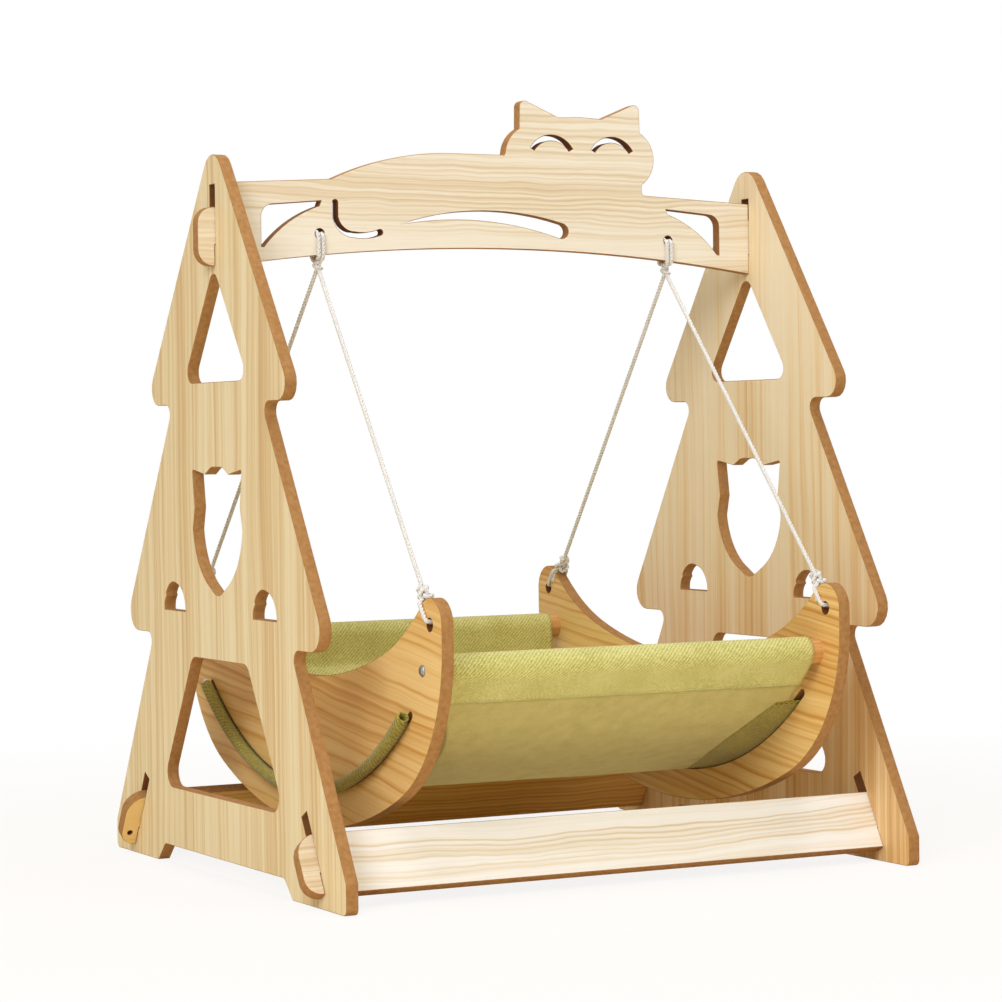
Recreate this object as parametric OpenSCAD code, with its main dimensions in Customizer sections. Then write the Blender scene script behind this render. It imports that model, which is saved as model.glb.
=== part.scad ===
// Cat hammock: a cloth cradle that hangs on ropes from a beam between two tree-shaped end panels.
// Lengths are in millimetres. X runs along the beam, Y from front to back and Z up.
// The origin is on the floor, in the middle of the footprint.

/* [Boards] */
// Thickness of every board
board_t = 10; // [8:0.5:12]
// Clear distance between the two end panels
span = 488; // [470:1:560]
// Clearance between a tab and its slot
fit_gap = 0.4; // [0.2:0.1:0.8]

/* [End panels] */
// Height of the legs, up to the middle tier's underside
leg_h = 190.5; // [182:0.5:200]
// Height of the middle tier, up to the upper tier's underside
tier2_h = 189.5; // [180:0.5:200]
// Height of the upper tier over its rounded tip
tier1_h = 198; // [185:1:220]
// Radius of the tip
tip_r = 20; // [14:1:26]
// Half width of the upper tier at its sharp corner
tier1_half = 153; // [140:1:170]
// Radius of the upper tier's corner
tier1_r = 14; // [6:1:18]
// Half width where the middle tier starts
waist1_half = 93; // [85:1:105]
// Half width of the middle tier at its sharp corner
tier2_half = 211; // [195:1:225]
// Radius of the middle tier's corner
tier2_r = 17; // [8:1:20]
// Half width where the legs start
waist2_half = 143; // [135:1:155]
// Radius of the hollow under each tier
waist_r = 8; // [3:1:10]
// Half depth of the footprint
foot_half = 238; // [225:1:255]
// Height at which a leg's edge turns upright
foot_bend_z = 24; // [16:1:32]
// Radius of a foot's outer corner
foot_r = 5; // [2:1:8]
// Distance from the middle to the inner end of a foot
foot_in = 140; // [125:1:150]
// Height of the arch between the feet
arch_h = 15; // [8:1:20]
// Length of the slope from a foot to the arch
arch_run = 16; // [8:1:24]

/* [Panel windows] */
// Wood between the beam's slot and the upper window's sharp top
tri_top_gap = 17; // [10:1:24]
// Height of the upper window's base over the upper tier's underside
tri_base_up = 17; // [12:1:30]
// Half width of the upper window at its base
tri_half = 67; // [50:1:74]
// Radius of the upper window's corners
tri_r = 9; // [4:1:12]
// Height of the cat-face window's chin over the middle tier's underside
face_up = 33.5; // [26:0.5:40]
// Half width of the cat-face window
face_half = 51.5; // [45:0.5:58]
// Height from the chin to the tips of the ears
face_ear_h = 103; // [94:1:110]
// Distance from the middle to a small cat window
cat_y = 94; // [88:1:100]
// Height of the small cat windows' base over the middle tier's underside
cat_up = 20.5; // [16:0.5:26]
// Width of a small cat window
cat_w = 46; // [36:1:48]
// Height of a small cat window
cat_h = 22; // [16:1:26]
// Wood between the middle tier's underside and the lower window
low_top_gap = 16; // [12:0.5:30]
// Half width of the lower window at its top
low_top_half = 57; // [45:1:65]
// Height of the lower window's base
low_base_z = 64; // [55:1:75]
// Half width of the lower window at its base
low_base_half = 126; // [110:1:130]
// Radius of the lower window's corners
low_r = 12; // [5:1:16]

/* [Hooks] */
// How far a hook reaches out from the inner face of a panel
hook_out = 25; // [22:1:32]
// How far a hook drops behind the panel
hook_drop = 17; // [12:1:20]
// Radius of a hook's outer corners
hook_r = 13; // [4:1:14]
// Radius of the upper corner of a rail's hook
rail_hook_r = 18; // [8:1:20]
// Extra length of a slot over its hook
slot_slack = 1; // [0.5:0.5:3]

/* [Beam] */
// Depth of the beam's seat, the lower end of its slot, under a panel's tip
beam_seat_drop = 72; // [66:1:76]
// Height of the beam's hooks
beam_hook_h = 47; // [40:1:52]
// Height of the beam at its left end
beam_left_h = 67; // [56:1:70]
// Height of the beam at its right end
beam_right_h = 60.5; // [54:0.5:66]
// Rise of the arched lower edge
beam_arch = 18; // [8:1:22]
// Rise of the arms' upper edge from the panels to the cat
arm_rise = 5; // [2:0.5:8]
// Place of the cat's tail end, left of the middle
tail_x = 152; // [145:1:165]
// Rise of the cat's back over the left arm
back_rise = 24; // [18:0.5:28]
// Left end of the level part of the back
back_x = 45; // [30:1:60]
// Place of the middle of the head
head_x = 78.5; // [65:0.5:85]
// Half width of the head over its ears
head_half = 57.5; // [52:0.5:66]
// Rise of the crown of the head over the back
crown_rise = 33; // [28:0.5:38]
// Height of the ears over the crown
ear_h = 15.5; // [8:0.5:22]
// Width of an ear at its root
ear_w = 37; // [28:1:44]
// Radius of the cheeks
cheek_r = 25.5; // [22:0.5:28]
// Width of a closed eye
eye_w = 40; // [30:1:46]
// Height of a closed eye's arc
eye_h = 11; // [7:0.5:14]
// Thickness of a closed eye in its middle
eye_t = 4.5; // [3:0.5:6]
// Distance between the middles of the eyes
eye_gap = 58; // [50:1:64]

/* [Rails] */
// Width of a rail, and height of its hooks
rail_w = 49; // [42:1:54]
// Distance from a leg's edge to the middle of its rail slot
rail_inset = 42.5; // [36:0.5:48]
// Height of the upper end of a rail slot
rail_slot_z = 68; // [62:1:74]
// Bore of the lock-pin hole in the rear rail's hooks
lock_hole_d = 4; // [3:0.5:6]

/* [Cradle boards] */
// Length of the cradle over its two boards
cradle_len = 360; // [340:1:370]
// Half width of a cradle board
cradle_half = 252; // [240:1:262]
// Height of a cradle board's lowest point
cradle_z = 38; // [32:1:60]
// Height of a cradle board in its middle
cradle_mid_h = 122; // [110:1:132]
// Radius of the lower edge
base_r = 430; // [400:1:470]
// Radius where the lower edge turns up
side_r = 130; // [115:1:140]
// Radius of the hollow upper edge in the middle
dip_r = 470; // [430:1:510]
// Half angle of that middle stretch
dip_angle = 18; // [16:0.5:20]
// Radius of the upper edge next to the horns
horn_in_r = 200; // [185:1:215]
// Radius of a horn's tip
horn_r = 20; // [16:1:22]
// Bore of the rope hole in a horn
horn_hole_d = 10; // [8:0.5:12]

/* [Sling] */
// Diameter of a dowel
dowel_d = 20; // [16:0.5:24]
// Distance from a board's end to the middle of a dowel
dowel_in = 33; // [29:1:38]
// Height of a dowel over a board's lowest point
dowel_up = 138; // [132:1:144]
// Height of the sling's lowest point over a board's lowest point
sling_up = 29; // [24:1:36]
// Thickness of the woven cloth
cloth_t = 1.6; // [1:0.1:2]
// Thickness of the lining
lining_t = 1; // [0.6:0.1:1.4]
// Gap between one layer of cloth and the next
layer_gap = 0.3; // [0.2:0.1:0.5]
// Distance from an end of the woven cloth to the cradle board
sling_gap = 10; // [4:1:16]
// How far the lining stops short of the woven cloth's ends
lining_short = 10; // [4:1:20]
// Length of the woven strip below a dowel on the outside
strip_l = 27; // [18:1:32]
// Width of the curved slot in a cradle board
slot_w = 6; // [4.5:0.5:8]
// Distance along the cloth from a dowel to the end of the curved slot
slot_end = 41; // [36:1:60]
// Distance along the slot from its end to the flap
flap_gap = 8; // [4:1:14]
// Outside diameter of a rolled hem
hem_d = 11; // [10:0.5:13]
// Diameter of the rod in a hem
rod_d = 6; // [4:0.5:6.5]
// How far a rod stands out of its hem at the back
rod_out = 10; // [4:1:14]

/* [Screws] */
// Diameter of a dowel screw
screw_d = 4; // [3:0.5:5]
// Length of a dowel screw under its head
screw_l = 34; // [24:1:45]
// Diameter of a screw's head
screw_head_d = 9; // [7:0.5:10]
// Height of a screw's head
screw_head_h = 2.6; // [2:0.1:3.5]

/* [Ropes] */
// Diameter of the rope
rope_d = 3.5; // [3:0.5:5]
// Distance from the middle to a rope hole in the beam
hitch_x = 163; // [150:1:175]
// Height of the rope hole's middle over the beam's lower edge
beam_hole_up = 17.5; // [15:0.5:20]
// Clearance between a rope and what it passes
rope_gap = 0.4; // [0.3:0.1:0.6]
// Diameter of the crossing under the beam
hitch_d = 9; // [8:0.5:11]
// Diameter of a knot over a horn
knot_d = 12; // [10:0.5:14]
// Distance from a horn's rope hole to its knot
knot_reach = 28; // [27:1:34]

/* [Hidden] */
$fn = 48;

// Colours of the pale pine faces, the cradle's pine, dowel, cloths, rope, rod and steel
pale_pine = "#e8d3a4";
warm_pine = "#c9974f";
dowel_wood = "#b98450";
woven_green = "#b5b24f";
lining_green = "#b3a863";
rope_white = "#ece6da";
rod_white = "#f2f2ee";
steel = "#c8cacc";

// Steps of an arc in an outline and of a rounded corner
arc_n = 14;
corner_n = 6;
// Sides of a rope's tube
rope_sides = 8;

// Faces of the panels and the cradle boards
panel_in = span / 2;
panel_out = panel_in + board_t;
cradle_out = cradle_len / 2;
cradle_in = cradle_out - board_t;

// Heights of the tiers, the windows and the beam's seat
tier2_z = leg_h;
tier1_z = tier2_z + tier2_h;
panel_h = tier1_z + tier1_h;
beam_seat_z = panel_h - beam_seat_drop;
tri_top_z = beam_seat_z - tri_top_gap;
tri_base_z = tier1_z + tri_base_up;
face_z = tier2_z + face_up;
cat_z = tier2_z + cat_up;
low_top_z = tier2_z - low_top_gap;

// Slope of the panel's upper edges, tangent to the tip
tip_z = panel_h - tip_r;
tip_reach = norm([tier1_half, tip_z - tier1_z]);
crown_angle = atan2(tier1_half, tip_z - tier1_z) - asin(tip_r / tip_reach);
apex_z = tier1_z + tier1_half / tan(crown_angle);

// Rails lie parallel to the legs' outer edges
rail_tilt = atan2(foot_half - waist2_half, tier2_z - foot_bend_z);
leg_y = waist2_half + (tier2_z - rail_slot_z) * tan(rail_tilt);
rail_y = leg_y - rail_inset / cos(rail_tilt);
rail_slot_l = rail_w + slot_slack;
rail_low = -rail_slot_l - hook_drop;

// Length of a hook outside its panel
hook_lip = hook_out - board_t - fit_gap;

// Beam heights
beam_low = beam_seat_z - hook_drop;
left_arm_z = beam_low + beam_left_h + arm_rise;
right_arm_z = beam_low + beam_right_h + arm_rise;
back_z = left_arm_z + back_rise;
crown_z = back_z + crown_rise;
ear_z = crown_z + ear_h;
cheek_z = back_z;
beam_arch_r = (panel_in * panel_in + beam_arch * beam_arch) / (2 * beam_arch);
function beam_edge(x) = beam_low + beam_arch - beam_arch_r + sqrt(beam_arch_r * beam_arch_r - x * x);

// Cradle board: centres of the arcs of its outline
base_c = [0, cradle_z + base_r];
base_angle = asin((cradle_half - side_r) / (base_r - side_r));
side_c = base_c + (base_r - side_r) * [sin(base_angle), -cos(base_angle)];
dip_c = [0, cradle_z + cradle_mid_h + dip_r];
horn_in_c = dip_c + (dip_r - horn_in_r) * [sin(dip_angle), -cos(dip_angle)];
horn_y = cradle_half - horn_r;
horn_z = horn_in_c.y - sqrt(pow(horn_in_r + horn_r, 2) - pow(horn_y - horn_in_c.x, 2));
horn_c = [horn_y, horn_z];

// Sling: an arc through its lowest point that passes just under both dowels
dowel_y = cradle_half - dowel_in;
dowel_z = cradle_z + dowel_up;
dowel_off = (dowel_d - cloth_t) / 2;
sling_dip = dowel_up - sling_up;
sling_r = (pow(dowel_y, 2) + pow(sling_dip, 2) - pow(dowel_off, 2)) / (2 * (sling_dip - dowel_off));
sling_z = cradle_z + sling_up + sling_r;
wrap_r = dowel_d / 2 + layer_gap + cloth_t / 2;
strip_r = sling_r + cloth_t + layer_gap;
lining_r = sling_r + cloth_t / 2 + layer_gap + lining_t / 2;
dowel_angle = atan2(dowel_y, sling_z - dowel_z);
seam_angle = dowel_angle - along_angle(strip_l, strip_r);
slot_angle = dowel_angle - along_angle(slot_end, sling_r);
flap_angle = slot_angle - along_angle(flap_gap, sling_r);
sling_len = 2 * (cradle_in - sling_gap);
lining_len = sling_len - 2 * lining_short;
hem_x = cradle_out + layer_gap + hem_d / 2;
hem_wall = cloth_t + layer_gap;
function along_angle(l, r) = l / r * 180 / PI;

// Ropes: a hitch under the beam, and a knot over each horn on the line to that hitch
rope_r = rope_d / 2;
rope_x = cradle_in + board_t / 2;
rope_off = rope_r + rope_gap;
beam_hole_d = 2 * rope_d + 1;
beam_edge_z = beam_edge(hitch_x);
ring_off = rope_r + rope_gap / 2;
ring_low = beam_edge(hitch_x + 2 * ring_off) - rope_off;
hitch_z = ring_low - rope_r - rope_gap - hitch_d / 2;
to_hitch = [horn_y, hitch_z - horn_z] / norm([horn_y, hitch_z - horn_z]);
knot_y = horn_y - knot_reach * to_hitch.x;
knot_z = horn_z + knot_reach * to_hitch.y;
leg_out = rope_x - hitch_x;
leg_l = norm([leg_out, knot_y, hitch_z - knot_z]);

// Outline helpers
function unit(v) = v / norm(v);
function rev(v) = [for (i = [len(v) - 1:-1:0]) v[i]];
function flipped(rows) = [for (p = rev(rows)) [-p.x, p.y, p.z]];
function rows(pts, r = 0) = [for (p = pts) [p.x, p.y, r]];
function arc(c, r, a0, a1, n = arc_n) =
    [for (i = [0:n]) let (a = a0 + (a1 - a0) * i / n) c + r * [cos(a), sin(a)]];
function turn(a) = a > 180 ? a - 360 : a < -180 ? a + 360 : a;

// Arc through three points
function mid_c(a, b, c) =
    let (d = 2 * (a.x * (b.y - c.y) + b.x * (c.y - a.y) + c.x * (a.y - b.y)),
         aa = a * a,
         bb = b * b,
         cc = c * c)
    [aa * (b.y - c.y) + bb * (c.y - a.y) + cc * (a.y - b.y),
     aa * (c.x - b.x) + bb * (a.x - c.x) + cc * (b.x - a.x)] / d;
function arc3(a, b, c, n = arc_n) =
    let (o = mid_c(a, b, c),
         a0 = atan2(a.y - o.y, a.x - o.x),
         s1 = turn(atan2(b.y - o.y, b.x - o.x) - a0),
         s2 = turn(atan2(c.y - o.y, c.x - o.x) - a0 - s1))
    arc(o, norm(a - o), a0, a0 + s1 + s2, n);

// Rounded corner at p, between the edges to a and to b
function corner(a, p, b, r) =
    let (u = unit(a - p),
         v = unit(b - p),
         half = acos(u * v) / 2,
         c = p + unit(u + v) * r / sin(half),
         s = p + u * r / tan(half) - c,
         e = p + v * r / tan(half) - c,
         a0 = atan2(s.y, s.x))
    arc(c, r, a0, a0 + turn(atan2(e.y, e.x) - a0), corner_n);

// Closed outline from rows of [x, y, corner radius]
function outline(rs) =
    [for (i = [0:len(rs) - 1])
        let (n = len(rs),
             p = [rs[i].x, rs[i].y],
             a = [rs[(i + n - 1) % n].x, rs[(i + n - 1) % n].y],
             b = [rs[(i + 1) % n].x, rs[(i + 1) % n].y])
        each rs[i].z > 0 ? corner(a, p, b, rs[i].z) : [p]];

// Strip of an even width along a path
function side(path, off) =
    [for (i = [0:len(path) - 1])
        let (t = unit(path[min(i + 1, len(path) - 1)] - path[max(i - 1, 0)]))
        path[i] + off * [-t.y, t.x]];
function band(path, w) = concat(side(path, w / 2), rev(side(path, -w / 2)));

// Point of the sling at a radius and an angle from straight down
function on_sling(r, a) = [r * sin(a), sling_z - r * cos(a)];
function sling_arc(r, a0, a1, n = arc_n) = [for (i = [0:n]) on_sling(r, a0 + (a1 - a0) * i / n)];

// Points of a path without its two ends
function inner_points(path) = [for (i = [1:len(path) - 2]) path[i]];

// Board in the YZ plane, starting at x0 and going along X
module upright_board(x0, t = board_t) {
    translate([x0, 0, 0]) rotate([90, 0, 90]) linear_extrude(t) children();
}

// Board in the XZ plane, with its middle at y = 0
module long_board() {
    translate([0, board_t / 2, 0]) rotate([90, 0, 0]) linear_extrude(board_t) children();
}

// Round hole or bar along X, starting at x0
module along_x(x0, y, z, d, l) {
    translate([x0, y, z]) rotate([0, 90, 0]) cylinder(d = d, h = l);
}

// Profile of [radius, x] swept round the sling's axis from angle a0 to a1
module sling_sweep(a0, a1) {
    translate([0, 0, sling_z]) rotate([0, 90, 0]) rotate([0, 0, a0])
        rotate_extrude(angle = a1 - a0) children();
}

// Tube of a rope along a path in the local XY plane
module rope_tube(path, closed = false) {
    n = len(path);
    rings = [for (i = [0:n - 1])
        let (ahead = closed ? path[(i + 1) % n] : path[min(i + 1, n - 1)],
             behind = closed ? path[(i + n - 1) % n] : path[max(i - 1, 0)],
             t = unit(ahead - behind))
        [for (k = [0:rope_sides - 1])
            let (a = 360 * k / rope_sides)
            [path[i].x - t.y * rope_r * cos(a), path[i].y + t.x * rope_r * cos(a), rope_r * sin(a)]]];
    last = closed ? n - 1 : n - 2;
    wall = [for (i = [0:last], k = [0:rope_sides - 1])
        let (j = (i + 1) % n,
             m = (k + 1) % rope_sides,
             a = i * rope_sides + k,
             b = i * rope_sides + m,
             c = j * rope_sides + m,
             d = j * rope_sides + k)
        each [[a, c, b], [a, d, c]]];
    caps = closed ? [] : [for (k = [1:rope_sides - 2])
        each [[0, k, k + 1], [(n - 1) * rope_sides, (n - 1) * rope_sides + k + 1, (n - 1) * rope_sides + k]]];
    polyhedron(points = [for (r = rings) each r], faces = concat(wall, caps));
}

// Outline of an end panel: three tiers of a fir tree on two feet
module panel_shape() {
    half = [[tier1_half, tier1_z, tier1_r],
            [waist1_half, tier1_z, waist_r],
            [tier2_half, tier2_z, tier2_r],
            [waist2_half, tier2_z, waist_r],
            [foot_half, foot_bend_z, foot_r],
            [foot_half, 0, foot_r],
            [foot_in, 0, foot_r / 2],
            [foot_in - arch_run, arch_h, foot_r]];
    polygon(outline(concat([[0, apex_z, tip_r]], half, flipped(half))));
}

// Upper window, a triangle
module tri_window() {
    polygon(outline([[0, tri_top_z, tri_r], [tri_half, tri_base_z, tri_r], [-tri_half, tri_base_z, tri_r]]));
}

// Window in the shape of a cat's face with a pointed chin
module face_window() {
    ear = face_z + face_ear_h;
    chin_r = 20;
    crown_r = 20;
    cheek = arc3([0.42 * face_half, face_z + 0.11 * face_ear_h],
                 [0.8 * face_half, face_z + 0.28 * face_ear_h],
                 [face_half, face_z + 0.535 * face_ear_h]);
    half = concat(rows(cheek),
                  [[0.91 * face_half, face_z + 0.705 * face_ear_h, 2],
                   [face_half, ear, 2],
                   [0.47 * face_half, ear - 4, 2],
                   [0.22 * face_half, ear + 2, crown_r]]);
    polygon(outline(concat([[0, face_z, chin_r]], half, flipped(half))));
}

// Small window in the shape of a sitting cat seen from behind
module cat_window() {
    w = cat_w / 2;
    back = arc3([-w, 0], [-0.82 * w, 0.6 * cat_h], [-0.2 * w, cat_h]);
    head = arc3([-0.2 * w, cat_h], [0.45 * w, 0.98 * cat_h], [0.85 * w, 0.62 * cat_h]);
    chest = arc3([0.8 * w, 0.52 * cat_h], [0.97 * w, 0.3 * cat_h], [w, 0]);
    polygon(concat(back, head, chest));
}

// Lower window, a trapezium
module low_window() {
    polygon(outline([[low_top_half, low_top_z, low_r], [low_base_half, low_base_z, low_r],
                     [-low_base_half, low_base_z, low_r], [-low_top_half, low_top_z, low_r]]));
}

// Slots that take the hooks of the beam and of the rails
module hook_slots() {
    slot = board_t + 2 * fit_gap;
    translate([-slot / 2, beam_seat_z]) square([slot, beam_hook_h + slot_slack]);
    for (m = [0, 1])
        mirror([m, 0])
            translate([rail_y, rail_slot_z]) rotate(rail_tilt)
                translate([-slot / 2, -rail_slot_l]) square([slot, rail_slot_l]);
}

// One end panel, starting at x0
module end_panel(x0) {
    upright_board(x0)
        difference() {
            panel_shape();
            tri_window();
            face_window();
            translate([cat_y, cat_z]) cat_window();
            translate([-cat_y, cat_z]) cat_window();
            low_window();
            hook_slots();
        }
}

// Right end of a board that hooks into a panel, from its lower to its upper edge
function hook_rows(low, seat, top, top_r) =
    [[panel_in, low, 0],
     [panel_in, seat, 0],
     [panel_out + fit_gap, seat, 0],
     [panel_out + fit_gap, low, fit_gap],
     [panel_in + hook_out, low, min(hook_r, hook_lip - 2 * fit_gap)],
     [panel_in + hook_out, top, min(top_r, hook_out - 2)],
     [panel_in, top, 0]];

// Outline of the beam: a cat that lies on two arms
module beam_shape() {
    hook = hook_rows(beam_low, beam_seat_z, beam_low + beam_hook_h, hook_r);
    cheek_x = head_half - cheek_r + 14;
    right_cheek = arc([head_x + cheek_x, cheek_z], cheek_r, -58, 62);
    left_cheek = arc([head_x - cheek_x, cheek_z], cheek_r, 118, 176, corner_n);
    ear_in = head_half - ear_w;
    head = [[head_x + head_half, ear_z, 5],
            [head_x + ear_in, crown_z, 6],
            [head_x, crown_z + 1, 0],
            [head_x - ear_in, crown_z, 6],
            [head_x - head_half, ear_z, 5]];
    back = arc3([-back_x, back_z],
                [-(back_x + tail_x) / 2, back_z - back_rise * 0.25],
                [-tail_x, left_arm_z]);
    under = arc3([-panel_in, beam_low], [0, beam_low + beam_arch], [panel_in, beam_low], 2 * arc_n);
    polygon(outline(concat(hook,
                           [[panel_in, beam_low + beam_right_h, 0]],
                           [[right_cheek[0].x, right_arm_z, 3]],
                           rows(right_cheek),
                           head,
                           rows(left_cheek),
                           rows([[left_cheek[corner_n].x - 1, back_z]]),
                           rows(back),
                           [[-panel_in, beam_low + beam_left_h, 0]],
                           flipped(hook),
                           rows(inner_points(under)))));
}

// Closed eye, an arc that is thickest in its middle
module eye_shape() {
    top = arc3([-eye_w / 2, 0], [0, eye_h], [eye_w / 2, 0]);
    low = arc3([eye_w / 2 - 3.5, -2], [0, eye_h - eye_t], [-eye_w / 2 + 3.5, -2]);
    polygon(concat(top, low));
}

// Window in the right arm, between the cat and the panel
module arm_window() {
    out_x = panel_in - 30;
    in_x = tail_x + 9.5;
    top = beam_low + min(beam_left_h, beam_right_h) - 6.5;
    low = beam_edge(out_x) + 12;
    slope = arc3([in_x + 1.5, top - 4], [(in_x + out_x) / 2 + 1.5, (top + low) / 2 + 2], [out_x - 2, low]);
    polygon(outline(concat([[in_x, top, 0]], rows(slope), [[out_x, low, 0], [out_x, top - 4.5, 10]])));
}

// Slot of the curled tail
module tail_slot() {
    slot = 4.5;
    x = -tail_x + 3;
    top = left_arm_z - 19;
    path = concat([[x, top]], arc3([x, top - 12], [x + 6, top - 22], [x + 18, top - 26], corner_n),
                  arc3([x + 20, top - 26.3], [x + 30, top - 26], [x + 40, top - 23.5], corner_n));
    polygon(band(path, slot));
    translate(path[0]) circle(d = slot);
    translate(path[len(path) - 1]) circle(d = slot);
}

// Long slit under the belly, with a sharp left end and a round right one
module belly_slit() {
    end_r = 6;
    mid_x = -17;
    edge_z = beam_low + beam_arch;
    tip = [-2 * back_x, edge_z + 18.5];
    end = [head_x - 18.5, edge_z + 15.5];
    top = arc3(tip, [mid_x, edge_z + 31], end + [2, end_r]);
    low = arc3(end + [-2, -end_r], [mid_x, edge_z + 23], tip);
    polygon(concat(top, arc(end, end_r, 60, -90, corner_n), low));
}

module left_panel() { color(pale_pine) end_panel(-panel_out); }

module right_panel() { color(pale_pine) end_panel(panel_in); }

module top_beam() {
    color(pale_pine)
        difference() {
            long_board()
                difference() {
                    beam_shape();
                    for (e = [-1, 1])
                        translate([head_x + 1.5 + e * eye_gap / 2, cheek_z + 7]) eye_shape();
                    arm_window();
                    mirror([1, 0]) arm_window();
                    tail_slot();
                    belly_slit();
                }
            for (e = [-1, 1])
                translate([e * hitch_x, board_t, beam_edge_z + beam_hole_up])
                    rotate([90, 0, 0]) cylinder(d = beam_hole_d, h = 2 * board_t);
        }
}

// Rail that leans with the front legs; its hooks drop behind the panels
module rail() {
    hook = hook_rows(rail_low, -rail_slot_l, rail_low + rail_w, rail_hook_r);
    translate([0, -rail_y, rail_slot_z]) rotate([-rail_tilt, 0, 0])
        difference() {
            long_board() polygon(outline(concat(hook, flipped(hook))));
            children();
        }
}

module front_rail() { color(pale_pine) rail(); }

// The rear rail has a lock-pin hole in each hook
module rear_rail() {
    color(pale_pine)
        mirror([0, 1, 0])
            rail()
                for (e = [-1, 1])
                    translate([e * (panel_in + hook_out - hook_lip / 2), board_t, rail_low + rail_w / 4])
                        rotate([90, 0, 0]) cylinder(d = lock_hole_d, h = 2 * board_t);
}

// Crescent outline of a cradle board
module crescent_shape() {
    tip_a = atan2(horn_in_c.y - horn_z, horn_in_c.x - horn_y);
    half = concat(arc(base_c, base_r, -90, base_angle - 90),
                  arc(side_c, side_r, base_angle - 90, 0),
                  arc(horn_c, horn_r, 0, tip_a),
                  arc(horn_in_c, horn_in_r, tip_a - 180, dip_angle - 90),
                  arc(dip_c, dip_r, dip_angle - 90, -90));
    polygon(concat(half, [for (p = rev(half)) [-p.x, p.y]]));
}

// Curved slot for the cloth, with round ends
module slot_shape() {
    half = slot_w / 2;
    polygon(concat(arc(on_sling(sling_r, slot_angle), half, slot_angle - 90, slot_angle + 90, corner_n),
                   inner_points(sling_arc(sling_r - half, slot_angle, -slot_angle, 2 * arc_n)),
                   arc(on_sling(sling_r, -slot_angle), half, 90 - slot_angle, 270 - slot_angle, corner_n),
                   inner_points(sling_arc(sling_r + half, -slot_angle, slot_angle, 2 * arc_n))));
}

// Right cradle board, with rope holes, screw holes and the curved slot for the cloth
module cradle_board() {
    over = board_t + 2;
    x0 = cradle_in - 1;
    difference() {
        upright_board(cradle_in)
            difference() {
                crescent_shape();
                slot_shape();
            }
        for (e = [-1, 1]) {
            along_x(x0, e * horn_y, horn_z, horn_hole_d, over);
            along_x(x0, e * dowel_y, dowel_z, screw_d + fit_gap, over);
        }
    }
}

module right_cradle_board() { color(warm_pine) cradle_board(); }

module left_cradle_board() { color(warm_pine) mirror([1, 0, 0]) cradle_board(); }

// Dowel between the cradle boards, drilled at both ends for its screws
module dowel(y) {
    pilot_l = screw_l - board_t + 2;
    difference() {
        along_x(-cradle_in, y, dowel_z, dowel_d, 2 * cradle_in);
        for (x0 = [-cradle_in - 1, cradle_in - pilot_l])
            along_x(x0, y, dowel_z, screw_d + fit_gap / 2, pilot_l + 1);
    }
}

module front_dowel() { color(dowel_wood) dowel(-dowel_y); }

module rear_dowel() { color(dowel_wood) dowel(dowel_y); }

// Pan-head screw along Z, with the underside of its head at z = 0
module screw() {
    rim = 0.8;
    cross_w = 1.2;
    dome = arc3([screw_head_d / 2, rim],
                [screw_head_d * 0.3, screw_head_h * 0.82],
                [0, screw_head_h], corner_n);
    difference() {
        union() {
            rotate_extrude() polygon(concat([[0, 0], [screw_head_d / 2, 0]], dome));
            translate([0, 0, -screw_l]) cylinder(d = screw_d, h = screw_l);
        }
        for (a = [0, 90])
            rotate([0, 0, a])
                translate([-screw_head_d / 4, -cross_w / 2, screw_head_h / 2])
                    cube([screw_head_d / 2, cross_w, screw_head_h]);
    }
}

module dowel_screws() {
    color(steel)
        for (m = [0, 1], e = [-1, 1])
            mirror([m, 0, 0])
                translate([cradle_out, e * dowel_y, dowel_z]) rotate([0, 90, 0]) screw();
}

// Right half of the woven cloth's path: outside strip, turn over the dowel and down to the seam
function cloth_half() =
    let (seam = on_sling(sling_r, seam_angle),
         d = [dowel_y, dowel_z],
         v = seam - d,
         last = 360 + atan2(v.y, v.x) - acos(wrap_r / norm(v)))
    concat(sling_arc(strip_r, seam_angle, dowel_angle, 4),
           [for (i = [1:arc_n]) let (a = dowel_angle - 90 + (last - dowel_angle + 90) * i / arc_n)
               d + wrap_r * [cos(a), sin(a)]],
           [(d + wrap_r * [cos(last), sin(last)] + seam) / 2]);

// Woven cloth: hangs in one curve and turns over both dowels
module sling_cloth() {
    half = cloth_half();
    path = concat(half, sling_arc(sling_r, seam_angle, -seam_angle, 2 * arc_n),
                  [for (p = rev(half)) [-p.x, p.y]]);
    color(woven_green)
        upright_board(-sling_len / 2, sling_len) polygon(band(path, cloth_t));
}

// Lining under the woven cloth, from seam to seam
module sling_lining() {
    a = seam_angle - layer_gap / strip_r * 180 / PI;
    color(lining_green)
        upright_board(-lining_len / 2, lining_len)
            polygon(band(sling_arc(lining_r, -a, a, 2 * arc_n), lining_t));
}

// Cloth that runs out through a cradle board's slot into a rolled hem
module end_flap() {
    sling_sweep(-flap_angle, flap_angle)
        difference() {
            union() {
                translate([sling_r - cloth_t / 2, sling_len / 2]) square([cloth_t, hem_x - sling_len / 2]);
                translate([sling_r, hem_x]) circle(d = hem_d);
            }
            translate([sling_r, hem_x]) circle(d = hem_d - 2 * hem_wall);
        }
}

module right_end_flap() { color(woven_green) end_flap(); }

module left_end_flap() { color(woven_green) mirror([1, 0, 0]) end_flap(); }

// Rod in a rolled hem: it stands out at the back and lies as far inside at the front
module hem_rod() {
    shift = along_angle(rod_out, sling_r);
    sling_sweep(-flap_angle + shift, flap_angle + shift)
        translate([sling_r, hem_x]) circle(d = min(rod_d, hem_d - 2 * hem_wall - 2 * layer_gap));
}

module right_hem_rod() { color(rod_white) hem_rod(); }

module left_hem_rod() { color(rod_white) mirror([1, 0, 0]) hem_rod(); }

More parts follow.
